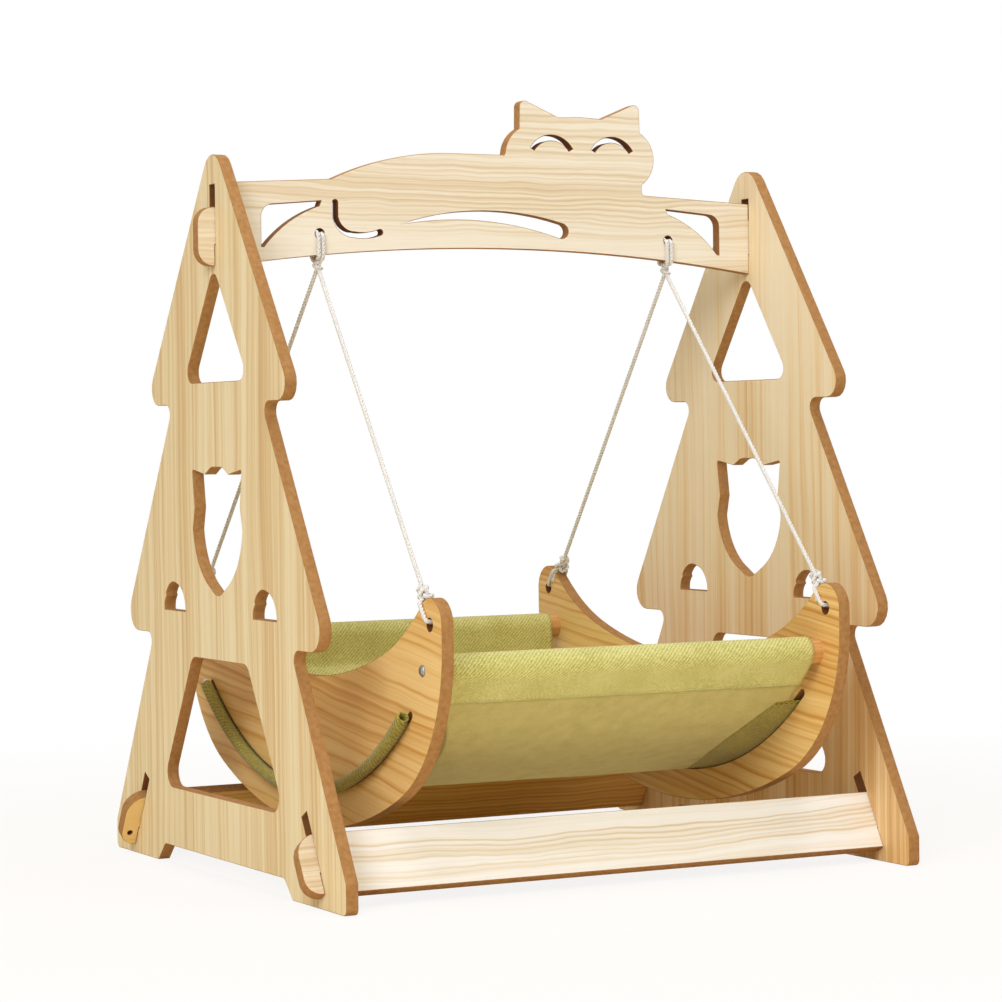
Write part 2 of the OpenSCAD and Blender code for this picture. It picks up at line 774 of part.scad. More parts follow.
// Two turns of rope through the beam's hole and round its lower edge
module beam_hitch() {
    w = board_t / 2 + rope_off;
    top = beam_edge_z + beam_hole_up;
    ring = outline([[-w, ring_low, rope_off],
                    [w, ring_low, rope_off],
                    [w, top, rope_off],
                    [-w, top, rope_off]]);
    for (e = [-1, 1])
        translate([hitch_x + e * ring_off, 0, 0]) rotate([90, 0, 90]) rope_tube(ring, true);
}

module right_beam_hitch() { color(rope_white) beam_hitch(); }

module left_beam_hitch() { color(rope_white) mirror([1, 0, 0]) beam_hitch(); }

// Crossing of the two legs of a rope, on which the cradle swings
module hitch_knot(x) {
    translate([x, 0, hitch_z]) sphere(d = hitch_d);
}

module right_hitch_knot() { color(rope_white) hitch_knot(hitch_x); }

module left_hitch_knot() { color(rope_white) hitch_knot(-hitch_x); }

// Taut leg of a rope, from its hitch to the knot over a horn
module rope_leg(x_side, y_side) {
    leg = [x_side * leg_out, y_side * knot_y, knot_z - hitch_z];
    start = hitch_d / 2 + rope_gap;
    color(rope_white)
        translate([x_side * hitch_x, 0, hitch_z]) rotate([0, acos(leg.z / leg_l), atan2(leg.y, leg.x)])
            translate([0, 0, start]) cylinder(d = rope_d, h = leg_l - start - rope_gap - knot_d / 2);
}

module left_front_rope() { rope_leg(-1, -1); }

module left_rear_rope() { rope_leg(-1, 1); }

module right_front_rope() { rope_leg(1, -1); }

module right_rear_rope() { rope_leg(1, 1); }

// Loop through the right rear horn's hole and over its edge, with the knot that closes it
module horn_loop() {
    b = board_t / 2;
    hole_r = horn_hole_d / 2;
    knot = [0, knot_reach];
    free = knot_d / 2 + rope_gap;
    over = horn_r + rope_off;
    path = concat([knot + unit([-b, over] - knot) * free],
                  arc([-b, horn_r], rope_off, 90, 180, corner_n),
                  arc([-b, hole_r], rope_off, 180, 270, corner_n),
                  arc([b, hole_r], rope_off, 270, 360, corner_n),
                  arc([b, horn_r], rope_off, 0, 90, corner_n),
                  [knot + unit([b, over] - knot) * free]);
    translate([cradle_in + b, horn_y, horn_z])
        rotate([180 - atan2(to_hitch.y, to_hitch.x), 0, 0])
            rope_tube(path);
    translate([rope_x, knot_y, knot_z]) sphere(d = knot_d);
}

module right_rear_loop() { color(rope_white) horn_loop(); }

module right_front_loop() { color(rope_white) mirror([0, 1, 0]) horn_loop(); }

module left_rear_loop() { color(rope_white) mirror([1, 0, 0]) horn_loop(); }

module left_front_loop() { color(rope_white) mirror([1, 0, 0]) mirror([0, 1, 0]) horn_loop(); }

left_panel();
right_panel();
top_beam();
front_rail();
rear_rail();
left_cradle_board();
right_cradle_board();
front_dowel();
rear_dowel();
dowel_screws();
sling_cloth();
sling_lining();
left_end_flap();
right_end_flap();
left_hem_rod();
right_hem_rod();
left_beam_hitch();
right_beam_hitch();
left_hitch_knot();
right_hitch_knot();
left_front_rope();
left_rear_rope();
right_front_rope();
right_rear_rope();
left_front_loop();
left_rear_loop();
right_front_loop();
right_rear_loop();
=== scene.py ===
# %% [markdown]
# # Cat hammock
#
# A cloth sling hangs in a wooden cradle. The cradle swings on two ropes from a beam cut like a lying cat,
# and the beam hooks into two panels cut like fir trees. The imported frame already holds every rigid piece
# at its real size, so this lesson only dresses it: boards with eased edges and pine grain, woven cloth,
# laid rope, stitches and steel. Every length below is in metres.

import math

import bmesh
import bpy
import numpy as np
from mathutils import Matrix, Vector


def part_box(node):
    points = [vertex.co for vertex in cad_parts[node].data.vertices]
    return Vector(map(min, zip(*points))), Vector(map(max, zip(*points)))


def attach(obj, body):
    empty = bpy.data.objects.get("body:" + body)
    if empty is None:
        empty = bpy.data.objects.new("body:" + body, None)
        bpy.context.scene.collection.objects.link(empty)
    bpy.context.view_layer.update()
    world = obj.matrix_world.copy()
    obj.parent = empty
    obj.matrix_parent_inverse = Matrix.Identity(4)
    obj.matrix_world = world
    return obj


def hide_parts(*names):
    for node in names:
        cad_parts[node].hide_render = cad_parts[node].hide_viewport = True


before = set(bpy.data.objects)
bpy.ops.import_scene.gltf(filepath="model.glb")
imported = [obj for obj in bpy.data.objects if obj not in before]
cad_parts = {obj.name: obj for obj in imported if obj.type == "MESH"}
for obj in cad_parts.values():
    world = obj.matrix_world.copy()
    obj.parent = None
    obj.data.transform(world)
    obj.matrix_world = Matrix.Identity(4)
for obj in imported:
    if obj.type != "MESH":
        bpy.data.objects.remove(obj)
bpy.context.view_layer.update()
MM = 0.001

# %% [markdown]
# ## The camera
#
# The photograph was taken from the front left, a little above the middle, with a long lens. The lens and
# the place come from matching the corners of the boards. A long lens far away keeps the two panels nearly
# the same size, which a wide lens close by would not.

# %% Camera
IMAGE_PX = 1002
FOCAL_PX = 3132.3
SENSOR_MM = 36
CAMERA_AT = Vector((-1.2025, -2.3215, 0.3466))
AZIMUTH, ELEVATION, ROLL = (math.radians(a) for a in (-27.41, 1.09, -0.76))

back = Vector((math.sin(AZIMUTH) * math.cos(ELEVATION), -math.cos(AZIMUTH) * math.cos(ELEVATION),
               math.sin(ELEVATION)))
level_right = Vector((0, 0, 1)).cross(back).normalized()
level_up = back.cross(level_right)
right = level_right * math.cos(ROLL) + level_up * math.sin(ROLL)
up = back.cross(right)
camera = bpy.data.objects.new("camera", bpy.data.cameras.new("camera"))
bpy.context.collection.objects.link(camera)
camera.data.sensor_width = SENSOR_MM
camera.data.lens = FOCAL_PX / IMAGE_PX * SENSOR_MM
camera.matrix_world = Matrix((right, up, back)).transposed().to_4x4()
camera.matrix_world.translation = CAMERA_AT
bpy.context.scene.camera = camera
print("lens %.1f mm" % camera.data.lens)

# %% [markdown]
# ## Sizes from the frame
#
# Cloth and rope are made here, so they need the dowels, the boards and the rope's two ends. All of these
# are read from the boxes of the frame's pieces, and only the thin sizes that a box doesn't show are named.

# %% Sizes that cloth and rope share with the frame
CLOTH_T = 1.6 * MM
LAYER_GAP = 0.3 * MM
LINING_T = 1.0 * MM
HEM_R = 5.5 * MM
ROPE_R = 1.75 * MM
ROPE_GAP = 0.4 * MM
KNOT_R = 6.0 * MM
HORN_R = 20 * MM
HORN_HOLE_R = 5 * MM

board_low, board_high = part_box("right_cradle_board")
cradle_in, cradle_out = board_low.x, board_high.x
dowel_low, dowel_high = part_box("rear_dowel")
dowel_r = (dowel_high.z - dowel_low.z) / 2
dowel_y = (dowel_low.y + dowel_high.y) / 2
dowel_z = (dowel_low.z + dowel_high.z) / 2
cloth_low, cloth_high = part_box("sling_cloth")
sling_half = cloth_high.x
sling_bottom = cloth_low.z + CLOTH_T / 2
dowel_off = dowel_r - CLOTH_T / 2
sling_dip = dowel_z - sling_bottom
sling_r = (dowel_y ** 2 + sling_dip ** 2 - dowel_off ** 2) / (2 * (sling_dip - dowel_off))
sling_z = sling_bottom + sling_r
wrap_r = dowel_r + LAYER_GAP + CLOTH_T / 2
strip_r = sling_r + CLOTH_T + LAYER_GAP
lining_r = sling_r + CLOTH_T / 2 + LAYER_GAP + LINING_T / 2
dowel_angle = math.atan2(dowel_y, sling_z - dowel_z)
flap_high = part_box("right_end_flap")[1]
hem_x = flap_high.x - HEM_R
flap_angle = math.asin(flap_high.y / (sling_r + HEM_R))
hitch_low, hitch_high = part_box("right_hitch_knot")
hitch = (hitch_low + hitch_high) / 2
loop_low, loop_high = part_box("right_rear_loop")
horn = Vector(((cradle_in + cradle_out) / 2, board_high.y - HORN_R, board_high.z - HORN_R))
knot = Vector((horn.x, loop_low.y + KNOT_R, loop_high.z - KNOT_R))
print("sling radius %.1f mm, hitch %s, knot %s" % (sling_r / MM, tuple(hitch), tuple(knot)))

# %% [markdown]
# ## Writing finishes as sums
#
# A finish is a node tree. Wiring many Math nodes by hand is hard to read, so one small class stands for a
# value that changes over the surface, and a sum of such values adds the nodes. Every other node comes from
# one method that takes the node's type, its settings and what goes into its sockets.


# %% A value that changes over the surface
class Value:
    """A value of a finish that changes over the surface."""

    def __init__(self, finish, socket):
        self.finish = finish
        self.socket = socket

    def math(self, operation, *others):
        terms = dict(enumerate((self, *others)))
        return self.finish.node("ShaderNodeMath", {"operation": operation}, terms)

    def from_left(self, operation, other):
        return self.finish.node("ShaderNodeMath", {"operation": operation}, {0: other, 1: self})

    def __add__(self, other):
        return self.math("ADD", other)

    def __radd__(self, other):
        return self.math("ADD", other)

    def __sub__(self, other):
        return self.math("SUBTRACT", other)

    def __rsub__(self, other):
        return self.from_left("SUBTRACT", other)

    def __mul__(self, other):
        return self.math("MULTIPLY", other)

    def __rmul__(self, other):
        return self.math("MULTIPLY", other)

    def __truediv__(self, other):
        return self.math("DIVIDE", other)

    def __pow__(self, other):
        return self.math("POWER", other)


# %% Colours and finishes
def linear(*rgb):
    """Colour for a socket from three values of 0 to 255, as a picture shows them."""
    shares = [c / 255 for c in rgb]
    return tuple(s / 12.92 if s <= 0.04045 else ((s + 0.055) / 1.055) ** 2.4 for s in shares) + (1.0,)


def palette(*colours):
    """A list of such colours."""
    return [linear(*colour) for colour in colours]


class Finish:
    """A material whose shader is filled in one value at a time."""

    def __init__(self, name, **constants):
        self.material = bpy.data.materials.new(name)
        self.material.use_nodes = True
        self.tree = self.material.node_tree
        self.shader = self.tree.nodes["Principled BSDF"]
        for socket, value in constants.items():
            self.shader.inputs[socket.replace("_", " ")].default_value = value

    def node(self, kind, settings=None, inputs=None, output=0):
        made = self.tree.nodes.new(kind)
        for key, value in (settings or {}).items():
            if key == "stops":
                ramp = made.color_ramp.elements
                while len(ramp) < len(value):
                    ramp.new(0.5)
                for stop, (place, colour) in zip(ramp, value):
                    stop.position = place
                    stop.color = colour
            else:
                setattr(made, key, value)
        for key, value in (inputs or {}).items():
            if isinstance(value, Value):
                self.tree.links.new(value.socket, made.inputs[key])
            else:
                made.inputs[key].default_value = value
        return Value(self, made.outputs[output])

    def set(self, socket, value):
        self.tree.links.new(value.socket, self.shader.inputs[socket])

    def place(self):
        return self.node("ShaderNodeTexCoord", output="Object")

    def attribute(self, name):
        return self.node("ShaderNodeAttribute", {"attribute_name": name}, output="Fac")

    def noise(self, vector, scale=1.0, detail=2.0):
        return self.node("ShaderNodeTexNoise", {}, {"Vector": vector, "Scale": scale, "Detail": detail})

    def ramp(self, value, *stops):
        return self.node("ShaderNodeValToRGB", {"stops": stops}, {0: value})

    def fade(self, value, low, high):
        inputs = {"Value": value, "From Min": low, "From Max": high}
        return self.node("ShaderNodeMapRange", {"interpolation_type": "SMOOTHSTEP"}, inputs)

    def mix(self, factor, first, second, blend="MIX"):
        settings = {"data_type": "RGBA", "blend_type": blend}
        return self.node("ShaderNodeMix", settings, {0: factor, 6: first, 7: second}, output=2)

    def bump(self, height, distance, strength=0.5):
        inputs = {"Height": height, "Distance": distance, "Strength": strength}
        self.set("Normal", self.node("ShaderNodeBump", {}, inputs))

    def parts(self, vector):
        split = self.node("ShaderNodeSeparateXYZ", {}, {0: vector})
        return [Value(self, s) for s in split.socket.node.outputs]

    def join(self, x, y, z):
        return self.node("ShaderNodeCombineXYZ", {}, {0: x, 1: y, 2: z})


# %% [markdown]
# ## Pine boards
#
# Every board is cut from pine sheet. Its faces show long streaks: broad pale and tan bands, narrow late-wood
# lines that ripple, and fibres finer than a millimetre. The cut walls show a plain caramel brown, and narrow
# slots a darker one, partly where the cutter has scorched them and partly painted shade of their deep walls.
# The grain is drawn in Object coordinates that are stretched along the board, so it runs right through from
# face to face and doesn't depend on how the mesh is divided. Two masks that the mesh carries tell faces, cuts
# and narrow slots apart. A board may turn paler or richer towards one end, and that is painted light and
# shade: the right panel grows richer low down, where the cradle shades it, and the left panel a little paler
# there. The hooks of the beam and rails take a tone of their own.


# %% Pine finish
# Dark brown for narrow slots: scorch from the cutter, and painted shade of their deep walls.
SCORCH_AND_SHADE = linear(104, 50, 12)
FIBRE = linear(214, 188, 146)
CUT_TONES = palette((160, 113, 64), (169, 123, 73), (177, 132, 82))
EVEN_STOPS = (0.3, 0.5, 0.7)
FACE_STOPS = (0.32, 0.48, 0.6, 0.78)
SWAY = 26 * MM
GRAIN_DEPTH = 0.12 * MM
# The painted light and shade along a board is zero at this place along it.
LIGHT_AND_SHADE_FROM = 0.3
panel_in, panel_out = (corner.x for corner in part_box("right_panel"))


def pine(name, axes, tones, lines, pitch, ripple, tilt=0.0, shift=0.0, light_and_shade_drift=0.0, ends=0.0):
    """Pine; axes name the ways along the grain, across it and through, tones go from pale to rich.

    lines is the strength of the late-wood lines, pitch their distance and ripple how far they waver. tilt
    turns the grain about X, and shift moves it so that no two boards are alike. The drift is the change of
    tone for each metre along the board, a painted light and shade, and ends that of the hooks outside the
    panels.
    """
    finish = Finish(name, IOR=1.45)
    turned = finish.node("ShaderNodeMapping", {}, {"Vector": finish.place(), "Rotation": (tilt, 0, 0)})
    ways = dict(zip("XYZ", finish.parts(turned)))
    run, wide, deep = (ways[a] for a in axes)
    # Painted light and shade: the board turns paler or richer towards one end.
    light_and_shade_lean = (run - LIGHT_AND_SHADE_FROM) * light_and_shade_drift
    if ends:
        light_and_shade_lean = light_and_shade_lean + finish.fade(run.math("ABSOLUTE"), panel_in, panel_out) * ends
    run = run + shift
    wide = wide + shift * 0.37

    def figure(across, along_by, across_by, through_by, detail=2.0):
        """Noise drawn out along the grain; the three numbers are its waves for each metre."""
        return finish.noise(finish.join(run * along_by, across * across_by, deep * through_by), 1.0, detail)

    sway = figure(wide, 2.6, 8, 8) - 0.5
    wrinkle = figure(wide, 16, 30, 20) - 0.5
    ring = wide + sway * SWAY + wrinkle * ripple
    band = figure(ring, 0.6, 26, 14, 1.0)
    streak = figure(ring, 1.4, 130, 60)
    fine = figure(ring, 4.0, 460, 200)
    fibre = figure(wide, 28, 2300, 900, 1.0)
    wave = (ring * (2 * math.pi / pitch) + band * 11 + streak * 2.0).math("SINE") * 0.5 + 0.5
    late = wave ** 3.0 * finish.fade(streak + band, 0.75, 1.15)
    tone = band * 0.32 + streak * 0.42 + fine * 0.32 - 0.03 + late * lines + light_and_shade_lean
    face = finish.ramp(tone, *zip(FACE_STOPS, tones))
    face = finish.mix(finish.fade(fibre, 0.55, 0.8) * 0.2, face, FIBRE, "MULTIPLY")
    cut = finish.ramp(finish.noise(finish.place(), 260.0), *zip(EVEN_STOPS, CUT_TONES))
    # Narrow slots turn darker: partly scorch, partly painted shade of the deep walls.
    cut = finish.mix(finish.attribute("narrow") * 0.9, cut, SCORCH_AND_SHADE)
    wall = finish.attribute("cut")
    finish.set("Base Color", finish.mix(wall, face, cut))
    finish.set("Roughness", 0.46 + fine * 0.14 + wall * 0.4)
    finish.bump((fibre * 0.5 + fine + late * 0.6) * (1 - wall), GRAIN_DEPTH)
    return finish.material


PALE_TONES = palette((240, 228, 196), (233, 215, 175), (221, 194, 146), (203, 166, 113))
CREAM_TONES = palette((248, 242, 231), (243, 235, 220), (231, 215, 188), (213, 187, 150))
# Near-white tones for the front rail, painted light where the lamps fall full on it.
LIT_RAIL_TONES = palette((253, 252, 251), (248, 245, 241), (236, 223, 202), (214, 190, 154))
MID_TONES = palette((241, 227, 201), (239, 219, 184), (231, 200, 152), (208, 161, 98))
# Deep amber tones for the rear rail, painted shade for the shadow under the cradle.
SHADED_RAIL_TONES = palette((240, 206, 140), (232, 190, 116), (218, 166, 86), (196, 134, 52))
HONEY_TONES = palette((244, 213, 153), (236, 199, 131), (221, 173, 99), (198, 137, 62))
# The drift paints light and shade on the panels: the left panel a little paler low down, the right panel
# richer low down, where the cradle shades it.
panel_pine = pine("panel_pine", "ZYX", PALE_TONES, lines=0.09, pitch=9 * MM, ripple=1.5 * MM, light_and_shade_drift=0.12)
pale_panel_pine = pine("pale_panel_pine", "ZYX", MID_TONES, lines=0.06, pitch=9 * MM, ripple=1.5 * MM,
                       shift=0.53, light_and_shade_drift=-0.45)
beam_pine = pine("beam_pine", "XZY", CREAM_TONES, lines=0.11, pitch=4.5 * MM, ripple=9 * MM, shift=0.31,
                 ends=0.14)
cradle_pine = pine("cradle_pine", "YZX", HONEY_TONES, lines=0.14, pitch=7 * MM, ripple=6 * MM, tilt=-0.12,
                   shift=0.77)
print("pine finishes made")

# %% [markdown]
# ## Boards with eased edges
#
# A saw leaves a sharp edge, and a maker eases it with sandpaper so that it doesn't hurt a paw. That thin
# rounding catches the light along every outline. A Bevel modifier could round the frame's meshes, but their
# caps are long triangles, and a bevel would pinch at the sharp ends of the slits. So the outline of each
# board is read from its flat face, offset by a quarter circle in small steps, and filled again.


# %% Outlines of a board
EASED = 0.5 * MM
EASE_STEPS = 3
WIDE = 7 * MM
NARROW = 3.5 * MM
LONG_WAY = 150 * MM
LONG_SHARE = 0.3
SAME_POINT = 1e-6
SAME_LEVEL = 1e-5
NO_AREA = 1e-14
FACING = 0.999
SHARPEST = 0.5


def merged(node):
    """Points and triangles of a frame piece, with its loose corners joined."""
    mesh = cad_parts[node].data
    mesh.calc_loop_triangles()
    points = np.array([v.co for v in mesh.vertices])
    keys, index = np.unique(np.round(points / SAME_POINT).astype(np.int64), axis=0, return_inverse=True)
    triangles = np.array([t.vertices for t in mesh.loop_triangles])
    return keys * SAME_POINT, index.reshape(-1)[triangles]


def crosses(points, triangles):
    """Normals of triangles, each as long as twice the triangle's area."""
    a, b, c = (points[triangles[:, k]] for k in range(3))
    return np.cross(b - a, c - a)


def face_outlines(points, triangles, normal):
    """Closed outlines round the flat face that looks along normal, with the wood on their left."""
    cross = crosses(points, triangles)
    size = np.linalg.norm(cross, axis=1)
    facing = (cross @ normal > FACING * size) & (size > NO_AREA)
    level = points @ normal
    at_top = np.abs(level[triangles].mean(axis=1) - level.max()) < SAME_LEVEL
    edges = {(t[k], t[(k + 1) % 3]) for t in triangles[facing & at_top] for k in range(3)}
    follow = {start: end for start, end in edges if (end, start) not in edges}
    loops = []
    while follow:
        first = next(iter(follow))
        loop = [first]
        step = follow.pop(first)
        while step != first:
            loop.append(step)
            step = follow.pop(step)
        loops.append(loop)
    return loops, level.min(), level.max()


def inset(loop, amount):
    """The outline moved into the wood, with the reach of its sharp corners limited."""
    ahead = np.roll(loop, -1, axis=0) - loop
    ahead /= np.linalg.norm(ahead, axis=1)[:, None]
    before = np.roll(ahead, 1, axis=0)
    lefts = [np.stack((-d[:, 1], d[:, 0]), axis=1) for d in (before, ahead)]
    middle = lefts[0] + lefts[1]
    middle /= np.maximum(np.linalg.norm(middle, axis=1), 1e-9)[:, None]
    reach = amount / np.maximum((middle * lefts[1]).sum(axis=1), SHARPEST)
    return loop + middle * reach[:, None]


def slot_share(flat):
    """From 0 for a wide opening to 1 for a short slot, by area over way round; openings turn clockwise."""
    ahead = np.roll(flat, -1, axis=0)
    area = (flat[:, 0] * ahead[:, 1] - flat[:, 1] * ahead[:, 0]).sum() / 2
    way = np.linalg.norm(ahead - flat, axis=1).sum()
    share = 0.0 if area > 0 else min(1.0, max(0.0, (WIDE + area / way) / (WIDE - NARROW)))
    return share if way < LONG_WAY else share * LONG_SHARE


# %% A dressed board
def dressed_board(node, body, material):
    """A copy of a flat board with eased edges and masks on its cut walls."""
    points, triangles = merged(node)
    cross = crosses(points, triangles)
    normal = cross[np.argmax(np.linalg.norm(cross, axis=1))]
    normal = normal / np.linalg.norm(normal)
    side = np.array((1.0, 0, 0)) if abs(normal[0]) < 0.5 else np.array((0, 1.0, 0))
    other = np.cross(normal, side)
    loops, low, high = face_outlines(points, triangles, normal)
    turns = [math.pi / 2 * k / EASE_STEPS for k in range(EASE_STEPS + 1)]
    quarter = [(EASED * (1 - math.cos(t)), EASED * (1 - math.sin(t))) for t in turns]
    profile = [(x, low + z) for x, z in reversed(quarter)] + [(x, high - z) for x, z in quarter]
    bm = bmesh.new()
    cut = bm.faces.layers.float.new("cut")
    narrow = bm.faces.layers.float.new("narrow")
    caps = ([], [])
    for loop in loops:
        flat = np.stack((points[loop] @ side, points[loop] @ other), axis=1)
        flat = flat[np.linalg.norm(np.roll(flat, -1, axis=0) - flat, axis=1) > SAME_POINT]
        # The slot mask carries scorch and painted shade of the deep walls.
        scorch_and_shade = slot_share(flat)
        rings = []
        for amount, height in profile:
            ring = inset(flat, amount)
            at = ring[:, :1] * side + ring[:, 1:] * other + height * normal
            rings.append([bm.verts.new(p) for p in at])
        for lower, upper in zip(rings, rings[1:]):
            for k in range(len(lower)):
                m = (k + 1) % len(lower)
                wall = bm.faces.new((lower[k], upper[k], upper[m], lower[m]))
                wall.smooth = True
                wall[cut] = 1.0
                wall[narrow] = scorch_and_shade
        caps[0].append(rings[0])
        caps[1].append(rings[-1])
    for rings in caps:
        rims = [bm.edges.get((r[k], r[(k + 1) % len(r)])) for r in rings for k in range(len(r))]
        bmesh.ops.triangle_fill(bm, use_beauty=True, edges=rims)
        for rim in rims:
            rim.smooth = False
    bmesh.ops.recalc_face_normals(bm, faces=bm.faces)
    mesh = bpy.data.meshes.new(node + "_dressed")
    bm.to_mesh(mesh)
    bm.free()
    mesh.materials.append(material)
    piece = bpy.data.objects.new(node + "_dressed", mesh)
    bpy.context.collection.objects.link(piece)
    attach(piece, body)
    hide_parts(node)
    print(piece.name, len(mesh.polygons), "faces")


# %% Panels, beam and cradle boards
dressed_board("left_panel", "frame", panel_pine)
dressed_board("right_panel", "frame", pale_panel_pine)
dressed_board("top_beam", "frame", beam_pine)
for node in ("left_cradle_board", "right_cradle_board"):
    dressed_board(node, "cradle", cradle_pine)

# %% Rails, which lean with the legs
RAIL_LEAN = math.radians(29.7)
# The front rail wears painted light and the rear rail painted shade in their tones.
RAILS = (("front_rail", 1, 1.1, LIT_RAIL_TONES, 0.2), ("rear_rail", -1, 0.7, SHADED_RAIL_TONES, -0.3))
for node, way, shift, tones, ends in RAILS:
    grain = pine(node + "_pine", "XZY", tones, lines=0.16, pitch=4 * MM, ripple=7 * MM, tilt=way * RAIL_LEAN,
                 shift=shift, ends=ends)
    dressed_board(node, "frame", grain)

# %% [markdown]
# ## Dowels, screws and rods
#
# The dowels are turned from a harder, redder wood and show only about a centimetre at each end of the cloth.
# Their frame pieces have the right shape, so they keep it and get a finish. The same goes for the steel
# screws and the white plastic rods in the hems.

# %% Finishes for the turned and bought pieces
DOWEL_TONES = palette((192, 136, 78), (212, 160, 98), (226, 180, 120))
STEEL_TONES = palette((150, 152, 156), (196, 196, 198))
ROD_TONES = palette((236, 236, 230), (248, 248, 246))

dowel_finish = Finish("dowel_wood", Roughness=0.5)
x, y, z = dowel_finish.parts(dowel_finish.place())
vein = dowel_finish.noise(dowel_finish.join(x * 6, y * 380, z * 380), 1.0, 3.0)
dowel_finish.set("Base Color", dowel_finish.ramp(vein, *zip(EVEN_STOPS, DOWEL_TONES)))
dowel_finish.bump(vein, 0.1 * MM)

steel_finish = Finish("steel", Metallic=1.0)
smear = steel_finish.noise(steel_finish.place(), 900.0)
steel_finish.set("Base Color", steel_finish.mix(smear, *STEEL_TONES))
steel_finish.set("Roughness", 0.18 + smear * 0.2)

rod_finish = Finish("rod_plastic", Roughness=0.4)
haze = rod_finish.noise(rod_finish.place(), 300.0)
rod_finish.set("Base Color", rod_finish.mix(haze, *ROD_TONES))

kept_nodes = {"front_dowel": dowel_finish, "rear_dowel": dowel_finish, "dowel_screws": steel_finish,
              "left_hem_rod": rod_finish, "right_hem_rod": rod_finish}
for node, finish in kept_nodes.items():
    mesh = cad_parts[node].data
    mesh.materials.clear()
    mesh.materials.append(finish.material)
print("turned pieces finished")

# %% [markdown]
# ## Trees of Geometry Nodes
#
# Rope and stitches follow a line, so Geometry Nodes make them. A small class builds a tree one node at a
# time, gives it named sizes, runs it on lines of points and hands back a plain mesh.


# %% A tree that runs on lines
class Graph:
    """A Geometry Nodes tree that is filled one node at a time."""

    def __init__(self, name):
        self.tree = bpy.data.node_groups.new(name, "GeometryNodeTree")
        self.tree.interface.new_socket("Geometry", in_out="INPUT", socket_type="NodeSocketGeometry")
        self.tree.interface.new_socket("Geometry", in_out="OUTPUT", socket_type="NodeSocketGeometry")
        self.start = self.tree.nodes.new("NodeGroupInput")
        self.end = self.tree.nodes.new("NodeGroupOutput")

    def size(self, name):
        self.tree.interface.new_socket(name, in_out="INPUT", socket_type="NodeSocketFloat")
        return self.start.outputs[name]

    def node(self, kind, settings=None, inputs=None, output=0):
        made = self.tree.nodes.new(kind)
        for key, value in (settings or {}).items():
            setattr(made, key, value)
        for key, value in (inputs or {}).items():
            if isinstance(value, bpy.types.NodeSocket):
                self.tree.links.new(value, made.inputs[key])
            else:
                made.inputs[key].default_value = value
        return made.outputs[output]

    def math(self, operation, *terms):
        return self.node("ShaderNodeMath", {"operation": operation}, dict(enumerate(terms)))

    def vector(self, operation, *terms):
        return self.node("ShaderNodeVectorMath", {"operation": operation}, dict(enumerate(terms)))

    def scaled(self, vector, by):
        return self.node("ShaderNodeVectorMath", {"operation": "SCALE"}, {0: vector, "Scale": by})

    def line(self, spacing):
        curve = self.node("GeometryNodeMeshToCurve", {}, {"Mesh": self.start.outputs[0]})
        return self.node("GeometryNodeResampleCurve", {"mode": "LENGTH"}, {"Curve": curve, "Length": spacing})

    def finish(self, geometry, material):
        smooth = self.node("GeometryNodeSetShadeSmooth", {}, {"Geometry": geometry})
        real = self.node("GeometryNodeRealizeInstances", {}, {0: smooth})
        dressed = self.node("GeometryNodeSetMaterial", {}, {"Geometry": real, "Material": material})
        self.tree.links.new(dressed, self.end.inputs[0])

    def made_from(self, name, lines, **sizes):
        """A plain mesh from the tree, run on lines of [points, closed]."""
        points, edges = [], []
        for path, closed in lines:
            first = len(points)
            points += [tuple(p) for p in path]
            edges += [(k, k + 1) for k in range(first, len(points) - 1)]
            if closed:
                edges.append((len(points) - 1, first))
        wire = bpy.data.meshes.new(name + "_line")
        wire.from_pydata(points, edges, [])
        carrier = bpy.data.objects.new(name, wire)
        bpy.context.collection.objects.link(carrier)
        run = carrier.modifiers.new("tree", "NODES")
        run.node_group = self.tree
        for item in self.tree.interface.items_tree:
            if item.in_out == "INPUT" and item.name in sizes:
                run[item.identifier] = sizes[item.name]
        graph = bpy.context.evaluated_depsgraph_get()
        mesh = bpy.data.meshes.new_from_object(carrier.evaluated_get(graph))
        carrier.modifiers.remove(run)
        carrier.data = mesh
        bpy.data.meshes.remove(wire)
        mesh.name = name
        return carrier


# %% [markdown]
# ## Stitches
#
# A row of stitches holds each strip of the sling to the lining, and a darker row closes the top of each flap.
# One stitch is a small bead. The tree sets it on even places along the row and turns it along the row.


# %% Stitch tree
STITCH = {"Length": 2.8 * MM, "Thickness": 0.8 * MM, "Pitch": 4.0 * MM}
THREAD_SHADE = 0.8


def stitch_tree(name, colour):
    """Tree that sets beads of one colour along a line."""
    thread = Finish(name, Roughness=0.8)
    twist = thread.noise(thread.place(), 1800.0)
    thread.set("Base Color", thread.mix(twist, *palette(colour, [c * THREAD_SHADE for c in colour])))
    graph = Graph(name)
    long_size, thick, pitch = (graph.size(s) for s in ("Length", "Thickness", "Pitch"))
    bead = graph.node("GeometryNodeMeshUVSphere", {}, {"Segments": 6, "Rings": 4, "Radius": 0.5})
    turn = graph.node("FunctionNodeAlignRotationToVector", {"axis": "X"},
                      {"Vector": graph.node("GeometryNodeInputTangent")})
    scale = graph.node("ShaderNodeCombineXYZ", {}, {0: long_size, 1: thick, 2: thick})
    beads = graph.node("GeometryNodeInstanceOnPoints", {}, {"Points": graph.line(pitch), "Instance": bead,
                                                            "Rotation": turn, "Scale": scale})
    graph.finish(beads, thread.material)
    return graph


pale_stitches = stitch_tree("pale_thread", (214, 204, 128))
dark_stitches = stitch_tree("dark_thread", (74, 62, 24))


def stitch_rows(name, graph, rows):
    """Stitches along open rows of points, on the cradle."""
    made = graph.made_from(name, [(row, False) for row in rows], **STITCH)
    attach(made, "cradle")
    print(name, len(made.data.polygons), "faces")
    return made


